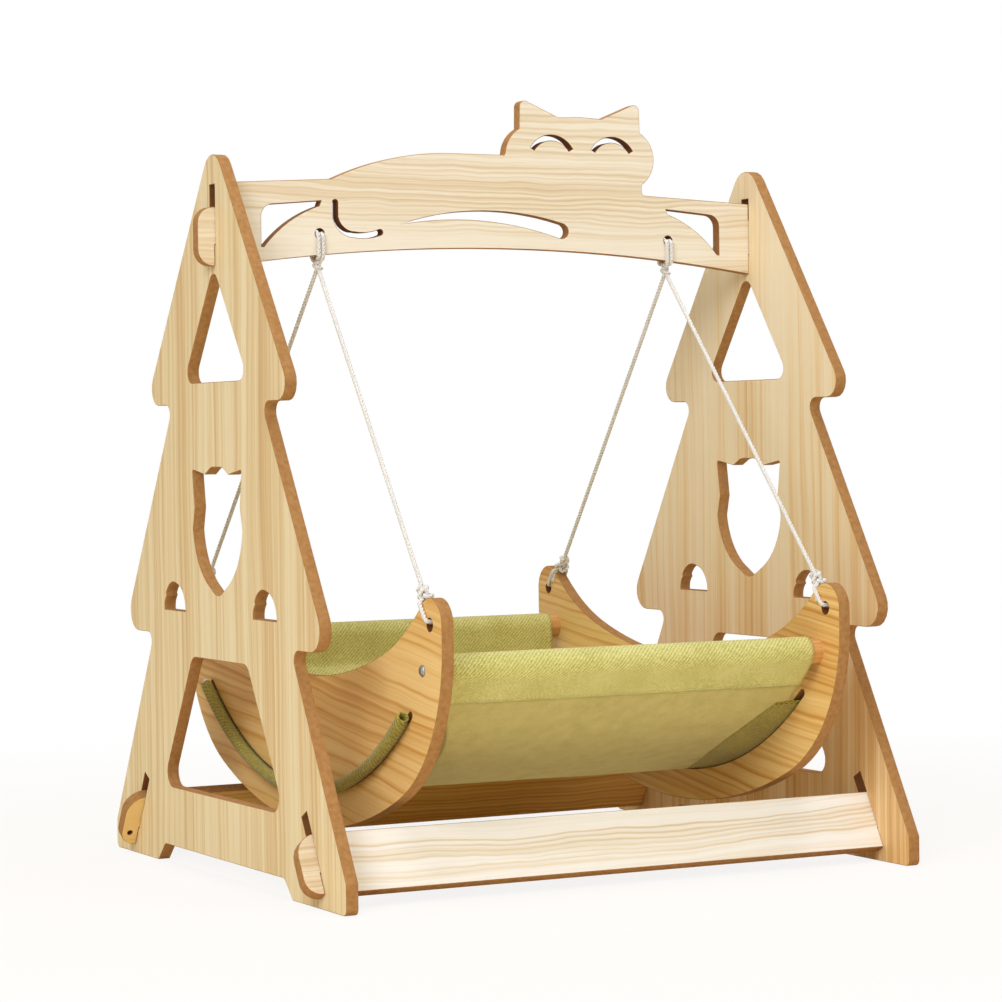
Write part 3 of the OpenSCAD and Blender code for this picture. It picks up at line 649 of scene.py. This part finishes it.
# %% [markdown]
# ## Woven cloth
#
# The sling is a coarse twill of green and straw-coloured yarn, the lining a finer plain weave. The threads
# are too fine to model one by one, so the weave is drawn from the UV map, which is laid out in metres along
# and across the cloth. A cell is one crossing of two threads, and which thread lies on top decides the
# height and the colour there. In a twill that choice steps sideways from row to row, which makes the slanting
# lines. The lining isn't pulled tight, so it also gets folds and a crumple in its height, and the crumple's
# light and shade is painted into its colour.


# %% Weave finish
WEAVE_STOPS = (0.2, 0.5, 0.84)
WEAVE_DEPTH = 1 * MM
STRAY_ALONG = 0.5 * MM
STRAY_ACROSS = 0.4 * MM


def woven(name, pitch, tones, twill, relief, crease=0.0):
    """Cloth of crossing threads; tones go from the gaps up, twill is the pattern's repeat in threads.

    relief is how far the threads stand out, crease how far the cloth folds, as shares of the weave's depth.
    crease also sets how much painted light and shade of the crumple goes into the colour.
    """
    finish = Finish(name, Roughness=0.85, Sheen_Weight=0.25, Sheen_Roughness=0.5)
    flat = finish.node("ShaderNodeUVMap", {"uv_map": "flat"})
    stray = finish.noise(flat, 140.0) - 0.5
    along, across, _ = finish.parts(flat)
    u = (along + stray * STRAY_ALONG) / pitch
    v = (across + stray * STRAY_ACROSS) / pitch
    column, row = u.math("FLOOR"), v.math("FLOOR")
    over = (column + row).math("FLOORED_MODULO", float(twill)).math("LESS_THAN", twill / 2)
    warp = (u.math("FRACT") * math.pi).math("SINE")
    weft = (v.math("FRACT") * math.pi).math("SINE")
    height = over * warp + (1 - over) * weft
    cell = finish.node("ShaderNodeTexWhiteNoise", {"noise_dimensions": "2D"},
                       {"Vector": finish.join(column, row, 0.0)})
    slub = finish.noise(flat, 26.0, 3.0)
    shade = height * 0.42 + cell * 0.28 + slub * 0.3 + over * 0.2 - 0.09
    lie = height * relief + cell * (relief * 0.25)
    if crease:
        crumple_and_shade = finish.noise(flat, 75.0, 3.0) - 0.5
        fold = finish.noise(finish.join(along * 22 + across * 14, across * 5 - along * 3, 0.0))
        # Painted light and shade of the crumple, in the colour.
        shade = shade + crumple_and_shade * (crease * 0.2)
        lie = lie + fold * crease + crumple_and_shade * (crease * 0.3)
    finish.set("Base Color", finish.ramp(shade, *zip(WEAVE_STOPS, tones)))
    finish.bump(lie, WEAVE_DEPTH, 0.7)
    return finish.material


WOVEN_TONES = palette((134, 128, 32), (204, 198, 100), (241, 238, 172))
LINING_TONES = palette((166, 153, 80), (191, 179, 105), (206, 195, 125))
# The flap's tones: its darker olive cloth, darkened further as painted shade for the lens under the sling.
FLAP_CLOTH_AND_SHADE_TONES = palette((76, 66, 6), (140, 128, 34), (190, 178, 70))
woven_cloth = woven("woven_cloth", 0.85 * MM, WOVEN_TONES, twill=4, relief=0.3)
lining_cloth = woven("lining_cloth", 0.6 * MM, LINING_TONES, twill=2, relief=0.08, crease=3.0)
flap_cloth = woven("flap_cloth", 1.1 * MM, FLAP_CLOTH_AND_SHADE_TONES, twill=4, relief=0.35)
print("weaves made")

# %% [markdown]
# ## The sling
#
# The sling hangs in one arc and turns over both dowels, where a strip of it is sewn to the lining below.
# Each sheet is a grid along a path in the YZ plane, pushed along X, with its real thickness from Solidify.
# Cloth under tension still shows shallow drags, so one smooth function of place moves all the layers alike
# and keeps them from cutting into each other.


# %% Places on the sling
STRIP_L = 27 * MM
DRAG = 0.8 * MM
CREASE = 0.3 * MM
CREASE_AT = 50 * MM
CREASE_HALF = 90 * MM
FREE_TURN = math.radians(12)
FREE_RUN = 30 * MM
seam_angle = dowel_angle - STRIP_L / strip_r
print("seams at %.0f degrees" % math.degrees(seam_angle))


def eased(share):
    share = max(0.0, min(1.0, share))
    return share * share * (3 - 2 * share)


def even(start, end, count):
    return [start + (end - start) * k / count for k in range(count + 1)]


def on_sling(r, angle, x=0.0):
    return Vector((x, r * math.sin(angle), sling_z - r * math.cos(angle)))


def drag(x, angle):
    """Shallow unevenness of the stretched cloth; it dies out at the seams and at the boards."""
    s = sling_r * angle
    slow = math.sin(9.0 * x + 4.0 * s + 0.6) * math.sin(7.0 * s - 5.0 * x + 1.1)
    crease = math.sin(38 * s + 30 * x) * math.exp(-((x - CREASE_AT) / CREASE_HALF) ** 2)
    free = eased((seam_angle - abs(angle)) / FREE_TURN) * eased((cradle_in - abs(x)) / FREE_RUN)
    return (DRAG * slow + CREASE * crease) * free


# %% Cloth from rows of points
COLUMNS = 90


def cloth_piece(name, rows, marks, thickness, material):
    """A sheet from a grid of points, with a UV map in metres and its real thickness."""
    bm = bmesh.new()
    uv = bm.loops.layers.uv.new("flat")
    grid = [[bm.verts.new(p) for p in row] for row in rows]
    bm.verts.index_update()
    flat = [mark for row in marks for mark in row]
    for low, high in zip(grid, grid[1:]):
        for c in range(len(low) - 1):
            face = bm.faces.new((low[c], low[c + 1], high[c + 1], high[c]))
            face.smooth = True
            for corner in face.loops:
                corner[uv].uv = flat[corner.vert.index]
    mesh = bpy.data.meshes.new(name)
    bm.to_mesh(mesh)
    bm.free()
    mesh.materials.append(material)
    piece = bpy.data.objects.new(name, mesh)
    bpy.context.collection.objects.link(piece)
    wall = piece.modifiers.new("thickness", "SOLIDIFY")
    wall.thickness = thickness
    wall.offset = 0
    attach(piece, "cradle")
    return piece


def hung_sheet(name, path, half_of, thickness, material):
    """A sheet along a path of [point, angle on the sling or None]; half_of gives its half length there."""
    run = 0.0
    rows, marks = [], []
    for k, (point, angle) in enumerate(path):
        if k:
            run += (point - path[k - 1][0]).length
        half = half_of(angle)
        row = []
        for x in even(-half, half, COLUMNS):
            place = Vector((x, point.y, point.z))
            if angle is not None:
                place += drag(x, angle) * Vector((0, math.sin(angle), -math.cos(angle)))
            row.append(place)
        rows.append(row)
        marks.append([(place.x, run) for place in row])
    return cloth_piece(name, rows, marks, thickness, material), run


# %% Sling cloth
STITCH_IN = 3 * MM


def over_dowel():
    """Path from the seam outside, round the rear dowel and down to the seam inside."""
    seam = on_sling(sling_r, seam_angle)
    middle = Vector((0, dowel_y, dowel_z))
    away = seam - middle
    last = 2 * math.pi + math.atan2(away.z, away.y) - math.acos(wrap_r / away.length)
    outside = [on_sling(strip_r, a) for a in even(seam_angle, dowel_angle, 9)]
    turn = even(dowel_angle - math.pi / 2, last, 24)[1:]
    wrap = [middle + wrap_r * Vector((0, math.cos(a), math.sin(a))) for a in turn]
    return outside + wrap + [wrap[-1].lerp(seam, k / 6) for k in range(1, 6)]


rear_half = [(p, None) for p in over_dowel()]
front_half = [(Vector((0, -p.y, p.z)), None) for p, _ in reversed(rear_half)]
hanging = [(on_sling(sling_r, a), a) for a in even(seam_angle, -seam_angle, 120)]
sling, sling_l = hung_sheet("sling", rear_half + hanging + front_half, lambda a: sling_half, CLOTH_T,
                            woven_cloth)
strip_angle = seam_angle + STITCH_IN / strip_r
strip_xs = even(STITCH_IN - sling_half, sling_half - STITCH_IN, 40)
strip_rows = [[on_sling(strip_r + CLOTH_T / 2, a, x) for x in strip_xs] for a in (-strip_angle, strip_angle)]
strip_stitches = stitch_rows("strip_stitches", pale_stitches, strip_rows)
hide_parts("sling_cloth")
print("sling cut %.0f x %.0f mm" % (2 * sling_half / MM, sling_l / MM))

# %% [markdown]
# ## The lining
#
# The lining is sewn under the sling from seam to seam. Each end is cut in an arch, and there the darker end
# flap meets it edge to edge, so a dark lens shows between the lining and the board. The lens is dark partly
# from the flap's own cloth and partly from painted shade in the flap's tones.

# %% Lining
LENS_W = 38.5 * MM
LENS_AT = math.radians(25)
LENS_HALF = math.radians(21)
LINING_CLEAR = 1.2 * MM
ARCH_STEP = 0.004


def lining_half(angle):
    """Half length of the lining at an angle on the sling."""
    if abs(angle) > flap_angle + 1e-6:
        return sling_half - LINING_CLEAR
    lens = max(0.0, 1 - ((abs(angle) - LENS_AT) / LENS_HALF) ** 2)
    return cradle_in - LINING_CLEAR - LENS_W * lens


lining_end = seam_angle - LAYER_GAP / strip_r
lining_angles = (even(lining_end, flap_angle + ARCH_STEP, 5) + even(flap_angle, -flap_angle, 110)
                 + even(-flap_angle - ARCH_STEP, -lining_end, 5))
lining_path = [(on_sling(lining_r, a), a) for a in lining_angles]
lining, lining_l = hung_sheet("lining", lining_path, lining_half, LINING_T, lining_cloth)
lining_w = 2 * max(lining_half(a) for a in lining_angles)
lining_area = sum((lining_half(a) + lining_half(b)) * lining_r * abs(b - a)
                  for a, b in zip(lining_angles, lining_angles[1:]))
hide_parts("sling_lining")
print("lining cut %.0f x %.0f mm" % (lining_w / MM, lining_l / MM))

# %% [markdown]
# ## End flaps with rolled hems
#
# At each end a flap of darker cloth runs out through the board's curved slot and rolls round a plastic rod,
# which is too thick to slip back. Its tones are darkened further by painted shade, for the lens under the
# sling. The flap's cross-section is a short run and a spiral of about one and a half turns, and that section
# is swept round the axis of the sling. The roll is a little wider than the run, so it covers the ends of the
# slot.

# %% Section of a flap
FLAP_T = 1.0 * MM
ROLL_OUT = 4.7 * MM
ROLL_IN = 3.7 * MM
ROLL_TURN = math.radians(520)
PUCKER = 0.12 * MM
PUCKERS = 160
FLAP_CLEAR = 0.2 * MM
TOP_STITCH_IN = 2.5 * MM
ROLL_PAST = math.radians(1.3) / flap_angle
flap_off = lining_r - sling_r


def flap_section(start):
    """Points of [x, distance outside the sling's arc, share of the roll's extra width] out to the rod."""
    run = [(x, flap_off, 0.0) for x in even(start, cradle_out, 14)]
    dive = [(cradle_out + (hem_x - cradle_out) * t, flap_off + (ROLL_OUT - flap_off) * eased(t), t)
            for t in (0.2, 0.4, 0.6, 0.8)]
    roll = []
    for t in even(0.0, 1.0, 30):
        r = ROLL_OUT + (ROLL_IN - ROLL_OUT) * t
        a = math.pi / 2 - ROLL_TURN * t
        roll.append((hem_x + r * math.cos(a), r * math.sin(a), 1.0))
    return run + dive + roll


# %% End flaps
def flap_piece(name, mirror):
    """One flap, swept round the sling's axis; mirror is 1 on the right and -1 on the left."""
    rows, marks = [], []
    area = longest = 0.0
    angles = even(-flap_angle, flap_angle, 90)
    for angle in angles:
        section = flap_section(lining_half(angle) + FLAP_CLEAR)
        run = 0.0
        row, mark = [], []
        for j, (x, off, share) in enumerate(section):
            step = math.dist(section[j][:2], section[j - 1][:2]) if j else 0.0
            run += step
            wider = 1 + share * ROLL_PAST
            lift = drag(mirror * x, angle)
            if x > cradle_out:
                lift += PUCKER * math.sin(angle * PUCKERS)
            row.append(on_sling(sling_r + off + lift, angle * wider, mirror * x))
            mark.append((section[0][0] + run, sling_r * angle * wider))
            area += step * wider * sling_r * (angles[1] - angles[0])
        rows.append(row)
        marks.append(mark)
        longest = max(longest, run)
    return cloth_piece(name, rows, marks, FLAP_T, flap_cloth), longest, area


flap_w = 2 * flap_angle * (1 + ROLL_PAST) * sling_r
top_angle = flap_angle - TOP_STITCH_IN / sling_r
top_xs = even(lining_half(top_angle) + 2 * MM, cradle_in - 1 * MM, 10)
for side, mirror in (("left", -1), ("right", 1)):
    flap, flap_l, flap_area = flap_piece(side + "_flap", mirror)
    top_rows = [[on_sling(lining_r + FLAP_T / 2, a, mirror * x) for x in top_xs]
                for a in (-top_angle, top_angle)]
    top_stitches = stitch_rows(side + "_flap_stitches", dark_stitches, top_rows)
    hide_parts(side + "_end_flap")
    print(flap.name, "cut %.0f x %.0f mm" % (flap_w / MM, flap_l / MM))

# %% [markdown]
# ## Laid rope
#
# The rope is three cotton strands laid round each other. A plain tube would look like wire, so Geometry Nodes
# take the rope's line, make three copies of it that wind round it like a screw thread, and give each a round
# section. The tree takes the strand's radius and the length of one full turn, which rope makers call the lay.

# %% Rope finish
ROPE_TONES = palette((212, 209, 207), (228, 227, 227), (240, 240, 241))
YARNS = 5.0
YARN_SLANT = 700.0
rope_finish = Finish("cotton_rope", Roughness=0.9, Sheen_Weight=0.3)
yarn_turn = rope_finish.attribute("around") * YARNS + rope_finish.attribute("along") * YARN_SLANT
yarn = (yarn_turn * (2 * math.pi)).math("SINE")
fuzz = rope_finish.noise(rope_finish.place(), 900.0)
rope_finish.set("Base Color", rope_finish.ramp(yarn * 0.08 + fuzz, *zip((0.25, 0.5, 0.75), ROPE_TONES)))
rope_finish.bump(yarn * 0.3 + fuzz, 0.15 * MM)
print("rope finish made")

# %% Rope tree
STRANDS = 3
POINTS_PER_LAY = 14.0
STRAND_PRESS = 1.1
rope_tree = Graph("laid_rope")
strand = rope_tree.size("Strand")
lay = rope_tree.size("Lay")
rope_line = rope_tree.line(rope_tree.math("DIVIDE", lay, POINTS_PER_LAY))
copies = rope_tree.node("GeometryNodeDuplicateElements", {"domain": "SPLINE"},
                        {"Geometry": rope_line, "Amount": STRANDS})
which = copies.node.outputs["Duplicate Index"]
far = rope_tree.node("GeometryNodeSplineParameter", output="Length")
turns = rope_tree.math("ADD", rope_tree.math("DIVIDE", far, lay), rope_tree.math("DIVIDE", which, STRANDS))
turned_by = rope_tree.math("MULTIPLY", turns, 2 * math.pi)
normal = rope_tree.node("GeometryNodeInputNormal")
binormal = rope_tree.vector("CROSS_PRODUCT", rope_tree.node("GeometryNodeInputTangent"), normal)
sideways = rope_tree.math("MULTIPLY", rope_tree.math("COSINE", turned_by), strand)
upward = rope_tree.math("MULTIPLY", rope_tree.math("SINE", turned_by), strand)
away = rope_tree.vector("ADD", rope_tree.scaled(normal, sideways), rope_tree.scaled(binormal, upward))
marked = rope_tree.node("GeometryNodeStoreNamedAttribute", {"data_type": "FLOAT", "domain": "POINT"},
                        {"Geometry": copies, "Name": "along", "Value": far})
wound = rope_tree.node("GeometryNodeSetPosition", {}, {"Geometry": marked, "Offset": away})
ring = rope_tree.node("GeometryNodeCurvePrimitiveCircle", {},
                      {"Resolution": 8, "Radius": rope_tree.math("MULTIPLY", strand, STRAND_PRESS)})
round_share = rope_tree.node("GeometryNodeSplineParameter", output="Factor")
section = rope_tree.node("GeometryNodeStoreNamedAttribute", {"data_type": "FLOAT", "domain": "POINT"},
                         {"Geometry": ring, "Name": "around", "Value": round_share})
tube = rope_tree.node("GeometryNodeCurveToMesh", {}, {"Curve": wound, "Profile Curve": section,
                                                      "Fill Caps": True})
rope_tree.finish(tube, rope_finish.material)
print("rope tree of", len(rope_tree.tree.nodes), "nodes")

# %% Rope along a line
ROPE_LAY = 10 * MM
STRAND_R = ROPE_R / 2.0


def rope_piece(name, lines, body, thin=1.0):
    """Laid rope along one or more lines of [points, closed]."""
    piece = rope_tree.made_from(name, lines, Strand=STRAND_R * thin, Lay=ROPE_LAY * thin)
    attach(piece, body)
    return piece


# %% Taut legs
for side, x_side in (("left", -1), ("right", 1)):
    for end, y_side in (("front", -1), ("rear", 1)):
        top = Vector((x_side * hitch.x, 0, hitch.z))
        low = Vector((x_side * knot.x, y_side * knot.y, knot.z))
        path = [top.lerp(low, k / 40) for k in range(41)]
        leg = rope_piece("%s_%s_leg" % (side, end), [(path, False)], side + "_ropes")
        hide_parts("%s_%s_rope" % (side, end))
        print(leg.name, "%.0f mm" % ((low - top).length / MM), len(leg.data.polygons), "faces")

# %% [markdown]
# ## Knots and hitches
#
# Over each horn the rope is tied in an overhand knot with a half hitch above it. An overhand knot with its
# ends joined is a trefoil, whose line has a short formula, so a knot is the same rope tree on that line.
# Under the beam a smaller one stands where the rope's two legs part.


# %% Knot and bend lines
KNOT_DEPTH = 0.62
BEND_R = 3.5 * MM


def trefoil(centre, radius, turn_to, count=90):
    """Closed line of an overhand knot, with its flat side turned to a direction."""
    out = Vector(turn_to).normalized()
    across = out.orthogonal().normalized()
    third = out.cross(across)
    points = []
    for k in range(count):
        t = 2 * math.pi * k / count
        x = math.sin(t) + 2 * math.sin(2 * t)
        y = math.cos(t) - 2 * math.cos(2 * t)
        flat = (across * x + third * y) * (radius / 3)
        points.append(centre + flat - out * (math.sin(3 * t) * radius * KNOT_DEPTH))
    return points


def rounded(corners, radius, steps=6):
    """A path through corner points, with round bends."""
    corners = [Vector(c) for c in corners]
    path = [corners[0]]
    for a, p, b in zip(corners, corners[1:], corners[2:]):
        reach = min(radius, (a - p).length / 2.01, (b - p).length / 2.01)
        start, end = p + (a - p).normalized() * reach, p + (b - p).normalized() * reach
        for t in even(0.0, 1.0, steps):
            path.append(start * (1 - t) ** 2 + p * (2 * t * (1 - t)) + end * t ** 2)
    return path + [corners[-1]]


# %% Loops on the horns
KNOT_DOWN = 1.5 * MM
KNOT_LINE_R = 5.2 * MM
HALF_HITCH_UP = 5.5 * MM
HALF_HITCH_R = 3.6 * MM
to_hitch = Vector((0, -horn.y, hitch.z - horn.z)).normalized()
half_board = (cradle_out - cradle_in) / 2
rope_off = ROPE_R + ROPE_GAP


def horn_loop():
    """Line of the right rear loop: over the horn's edge, through the hole and back over the edge."""
    side_x = half_board + rope_off
    hole = HORN_HOLE_R - rope_off
    reach = (knot - horn).length
    spots = [(0, reach), (-half_board, HORN_R + rope_off), (-side_x, HORN_R), (-side_x, hole), (side_x, hole),
             (side_x, HORN_R), (half_board, HORN_R + rope_off), (0, reach)]
    return rounded([horn + Vector((x, 0, 0)) + to_hitch * r for x, r in spots], BEND_R)


for side, x_side in (("left", -1), ("right", 1)):
    for end, y_side in (("front", -1), ("rear", 1)):
        flip = Vector((x_side, y_side, 1))
        line = to_hitch * flip
        centre = knot * flip
        tail = [centre + Vector((x_side * (-1 - 5 * t), y_side * 8 * t, -14 * t * t - 2 * t)) * MM
                for t in even(0.0, 1.0, 6)]
        ties = [([p * flip for p in horn_loop()], False),
                (trefoil(centre - line * KNOT_DOWN, KNOT_LINE_R, line + Vector((0.5, 0, 0))), True),
                (trefoil(centre + line * HALF_HITCH_UP, HALF_HITCH_R, line + Vector((-0.4, 0.3, 0))), True),
                (tail, False)]
        whole = rope_piece("%s_%s_tie" % (side, end), ties, "cradle", thin=0.96)
        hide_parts("%s_%s_loop" % (side, end))
        print(whole.name, len(whole.data.polygons), "faces")

# %% Hitches on the beam
CROSSING_R = 3.6 * MM
ring_low, ring_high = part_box("right_beam_hitch")
ring_y = ring_high.y - ROPE_R
ring_bottom = ring_low.z + ROPE_R
ring_top = ring_high.z - ROPE_R
ring_x = (ring_high.x - ring_low.x) / 2 - ROPE_R


def hitch_line():
    """Two turns through the right hole and round the beam, with both ends in the crossing below."""
    near, far_x = hitch.x - ring_x, hitch.x + ring_x
    crossing_at = Vector((hitch.x, 0, hitch.z + 3 * MM))
    corners = [crossing_at, (near, -ring_y, ring_bottom), (near, -ring_y, ring_top), (near, ring_y, ring_top),
               (near, ring_y, ring_bottom), (far_x, -ring_y, ring_bottom), (far_x, -ring_y, ring_top),
               (far_x, ring_y, ring_top), (far_x, ring_y, ring_bottom), crossing_at]
    return rounded(corners, BEND_R)


for side, x_side in (("left", -1), ("right", 1)):
    flip = Vector((x_side, 1, 1))
    wraps = rope_piece(side + "_hitch", [([p * flip for p in hitch_line()], False)], "frame")
    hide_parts(side + "_beam_hitch")
    crossing_line = trefoil(hitch * flip, CROSSING_R, (1, 0, 0.3))
    crossing = rope_piece(side + "_crossing", [(crossing_line, True)], "hanger", thin=0.75)
    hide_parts(side + "_hitch_knot")
    print(wraps.name, len(wraps.data.polygons), crossing.name, len(crossing.data.polygons), "faces")

# %% [markdown]
# ## Floor and light
#
# A pale floor and a white world give the plain ground of a studio picture. The camera sees them nearly white,
# while the wood gets only the light of three soft lamps, a weak warm world and two faint lamps by the floor,
# which stand for the light that a pale floor throws back. So its colour stays about as it is written. Near
# the object the floor shows part of its own shade, so the object's shadow stays.

# %% Floor
FLOOR_HALF = 6
FLOOR_DOWN = 0.2 * MM
NEAR_GLOW = 0.86
GLOW_FROM = 0.4
GLOW_TO = 1.3
floor_mesh = bpy.data.meshes.new("floor")
floor_corners = [(x * FLOOR_HALF, y * FLOOR_HALF, 0) for x, y in ((-1, -1), (1, -1), (1, 1), (-1, 1))]
floor_mesh.from_pydata(floor_corners, [], [(0, 1, 2, 3)])
floor = bpy.data.objects.new("floor", floor_mesh)
floor.location.z = -FLOOR_DOWN
bpy.context.collection.objects.link(floor)

pale_floor = Finish("pale_floor", Roughness=0.9)
pale_floor.shader.inputs["Base Color"].default_value = linear(248, 236, 212)
from_middle = pale_floor.node("ShaderNodeVectorMath", {"operation": "LENGTH"}, {0: pale_floor.place()},
                              output="Value")
seen = pale_floor.node("ShaderNodeLightPath", output="Is Camera Ray")
glow = pale_floor.node("ShaderNodeEmission", {}, {"Color": (1, 1, 1, 1), "Strength": 1.0})
white = seen * (NEAR_GLOW + pale_floor.fade(from_middle, GLOW_FROM, GLOW_TO) * (1 - NEAR_GLOW))
matt = Value(pale_floor, pale_floor.shader.outputs[0])
both = pale_floor.node("ShaderNodeMixShader", {}, {0: white, 1: matt, 2: glow})
pale_floor.tree.links.new(both.socket, pale_floor.tree.nodes["Material Output"].inputs[0])
floor_mesh.materials.append(pale_floor.material)
print("floor", 2 * FLOOR_HALF, "m wide")

# %% World
AMBIENT = 0.33
world = bpy.data.worlds.new("studio")
bpy.context.scene.world = world
world.use_nodes = True
nodes, links = world.node_tree.nodes, world.node_tree.links
warm = nodes["Background"]
warm.inputs["Color"].default_value = (1.0, 0.87, 0.68, 1)
warm.inputs["Strength"].default_value = AMBIENT
plain = nodes.new("ShaderNodeBackground")
plain.inputs["Color"].default_value = (1, 1, 1, 1)
ray = nodes.new("ShaderNodeLightPath")
direct = nodes.new("ShaderNodeMath")
direct.operation = "MAXIMUM"
links.new(ray.outputs["Is Camera Ray"], direct.inputs[0])
links.new(ray.outputs["Is Glossy Ray"], direct.inputs[1])
either = nodes.new("ShaderNodeMixShader")
links.new(direct.outputs[0], either.inputs[0])
links.new(warm.outputs[0], either.inputs[1])
links.new(plain.outputs[0], either.inputs[2])
links.new(either.outputs[0], nodes["World Output"].inputs[0])
print("world light", AMBIENT)


# %% Lamps
LAMPS_AIM = Vector((0, 0, 0.3))


def lamp(name, place, size, watts, colour=(1, 1, 1)):
    """A square soft lamp that looks at the middle of the hammock."""
    data = bpy.data.lights.new(name, "AREA")
    data.size = size
    data.energy = watts
    data.color = colour
    made = bpy.data.objects.new(name, data)
    bpy.context.collection.objects.link(made)
    made.location = place
    made.visible_camera = False
    made.rotation_euler = (LAMPS_AIM - Vector(place)).to_track_quat("-Z", "Y").to_euler()


lamp("key", (-2.5, -2.1, 2.2), 1.6, 70, (0.96, 0.99, 1.0))
lamp("fill", (2.0, -2.2, 1.2), 2.0, 8)
lamp("top", (0.0, -0.4, 2.6), 1.6, 30)
lamp("bounce", (-0.05, -0.42, 0.02), 0.5, 0.2, (1.0, 0.9, 0.7))
lamp("glow", (0.0, -0.02, 0.02), 0.26, 0.06, (1.0, 0.86, 0.6))
bpy.context.scene.view_settings.view_transform = "Standard"
print("stage lit")
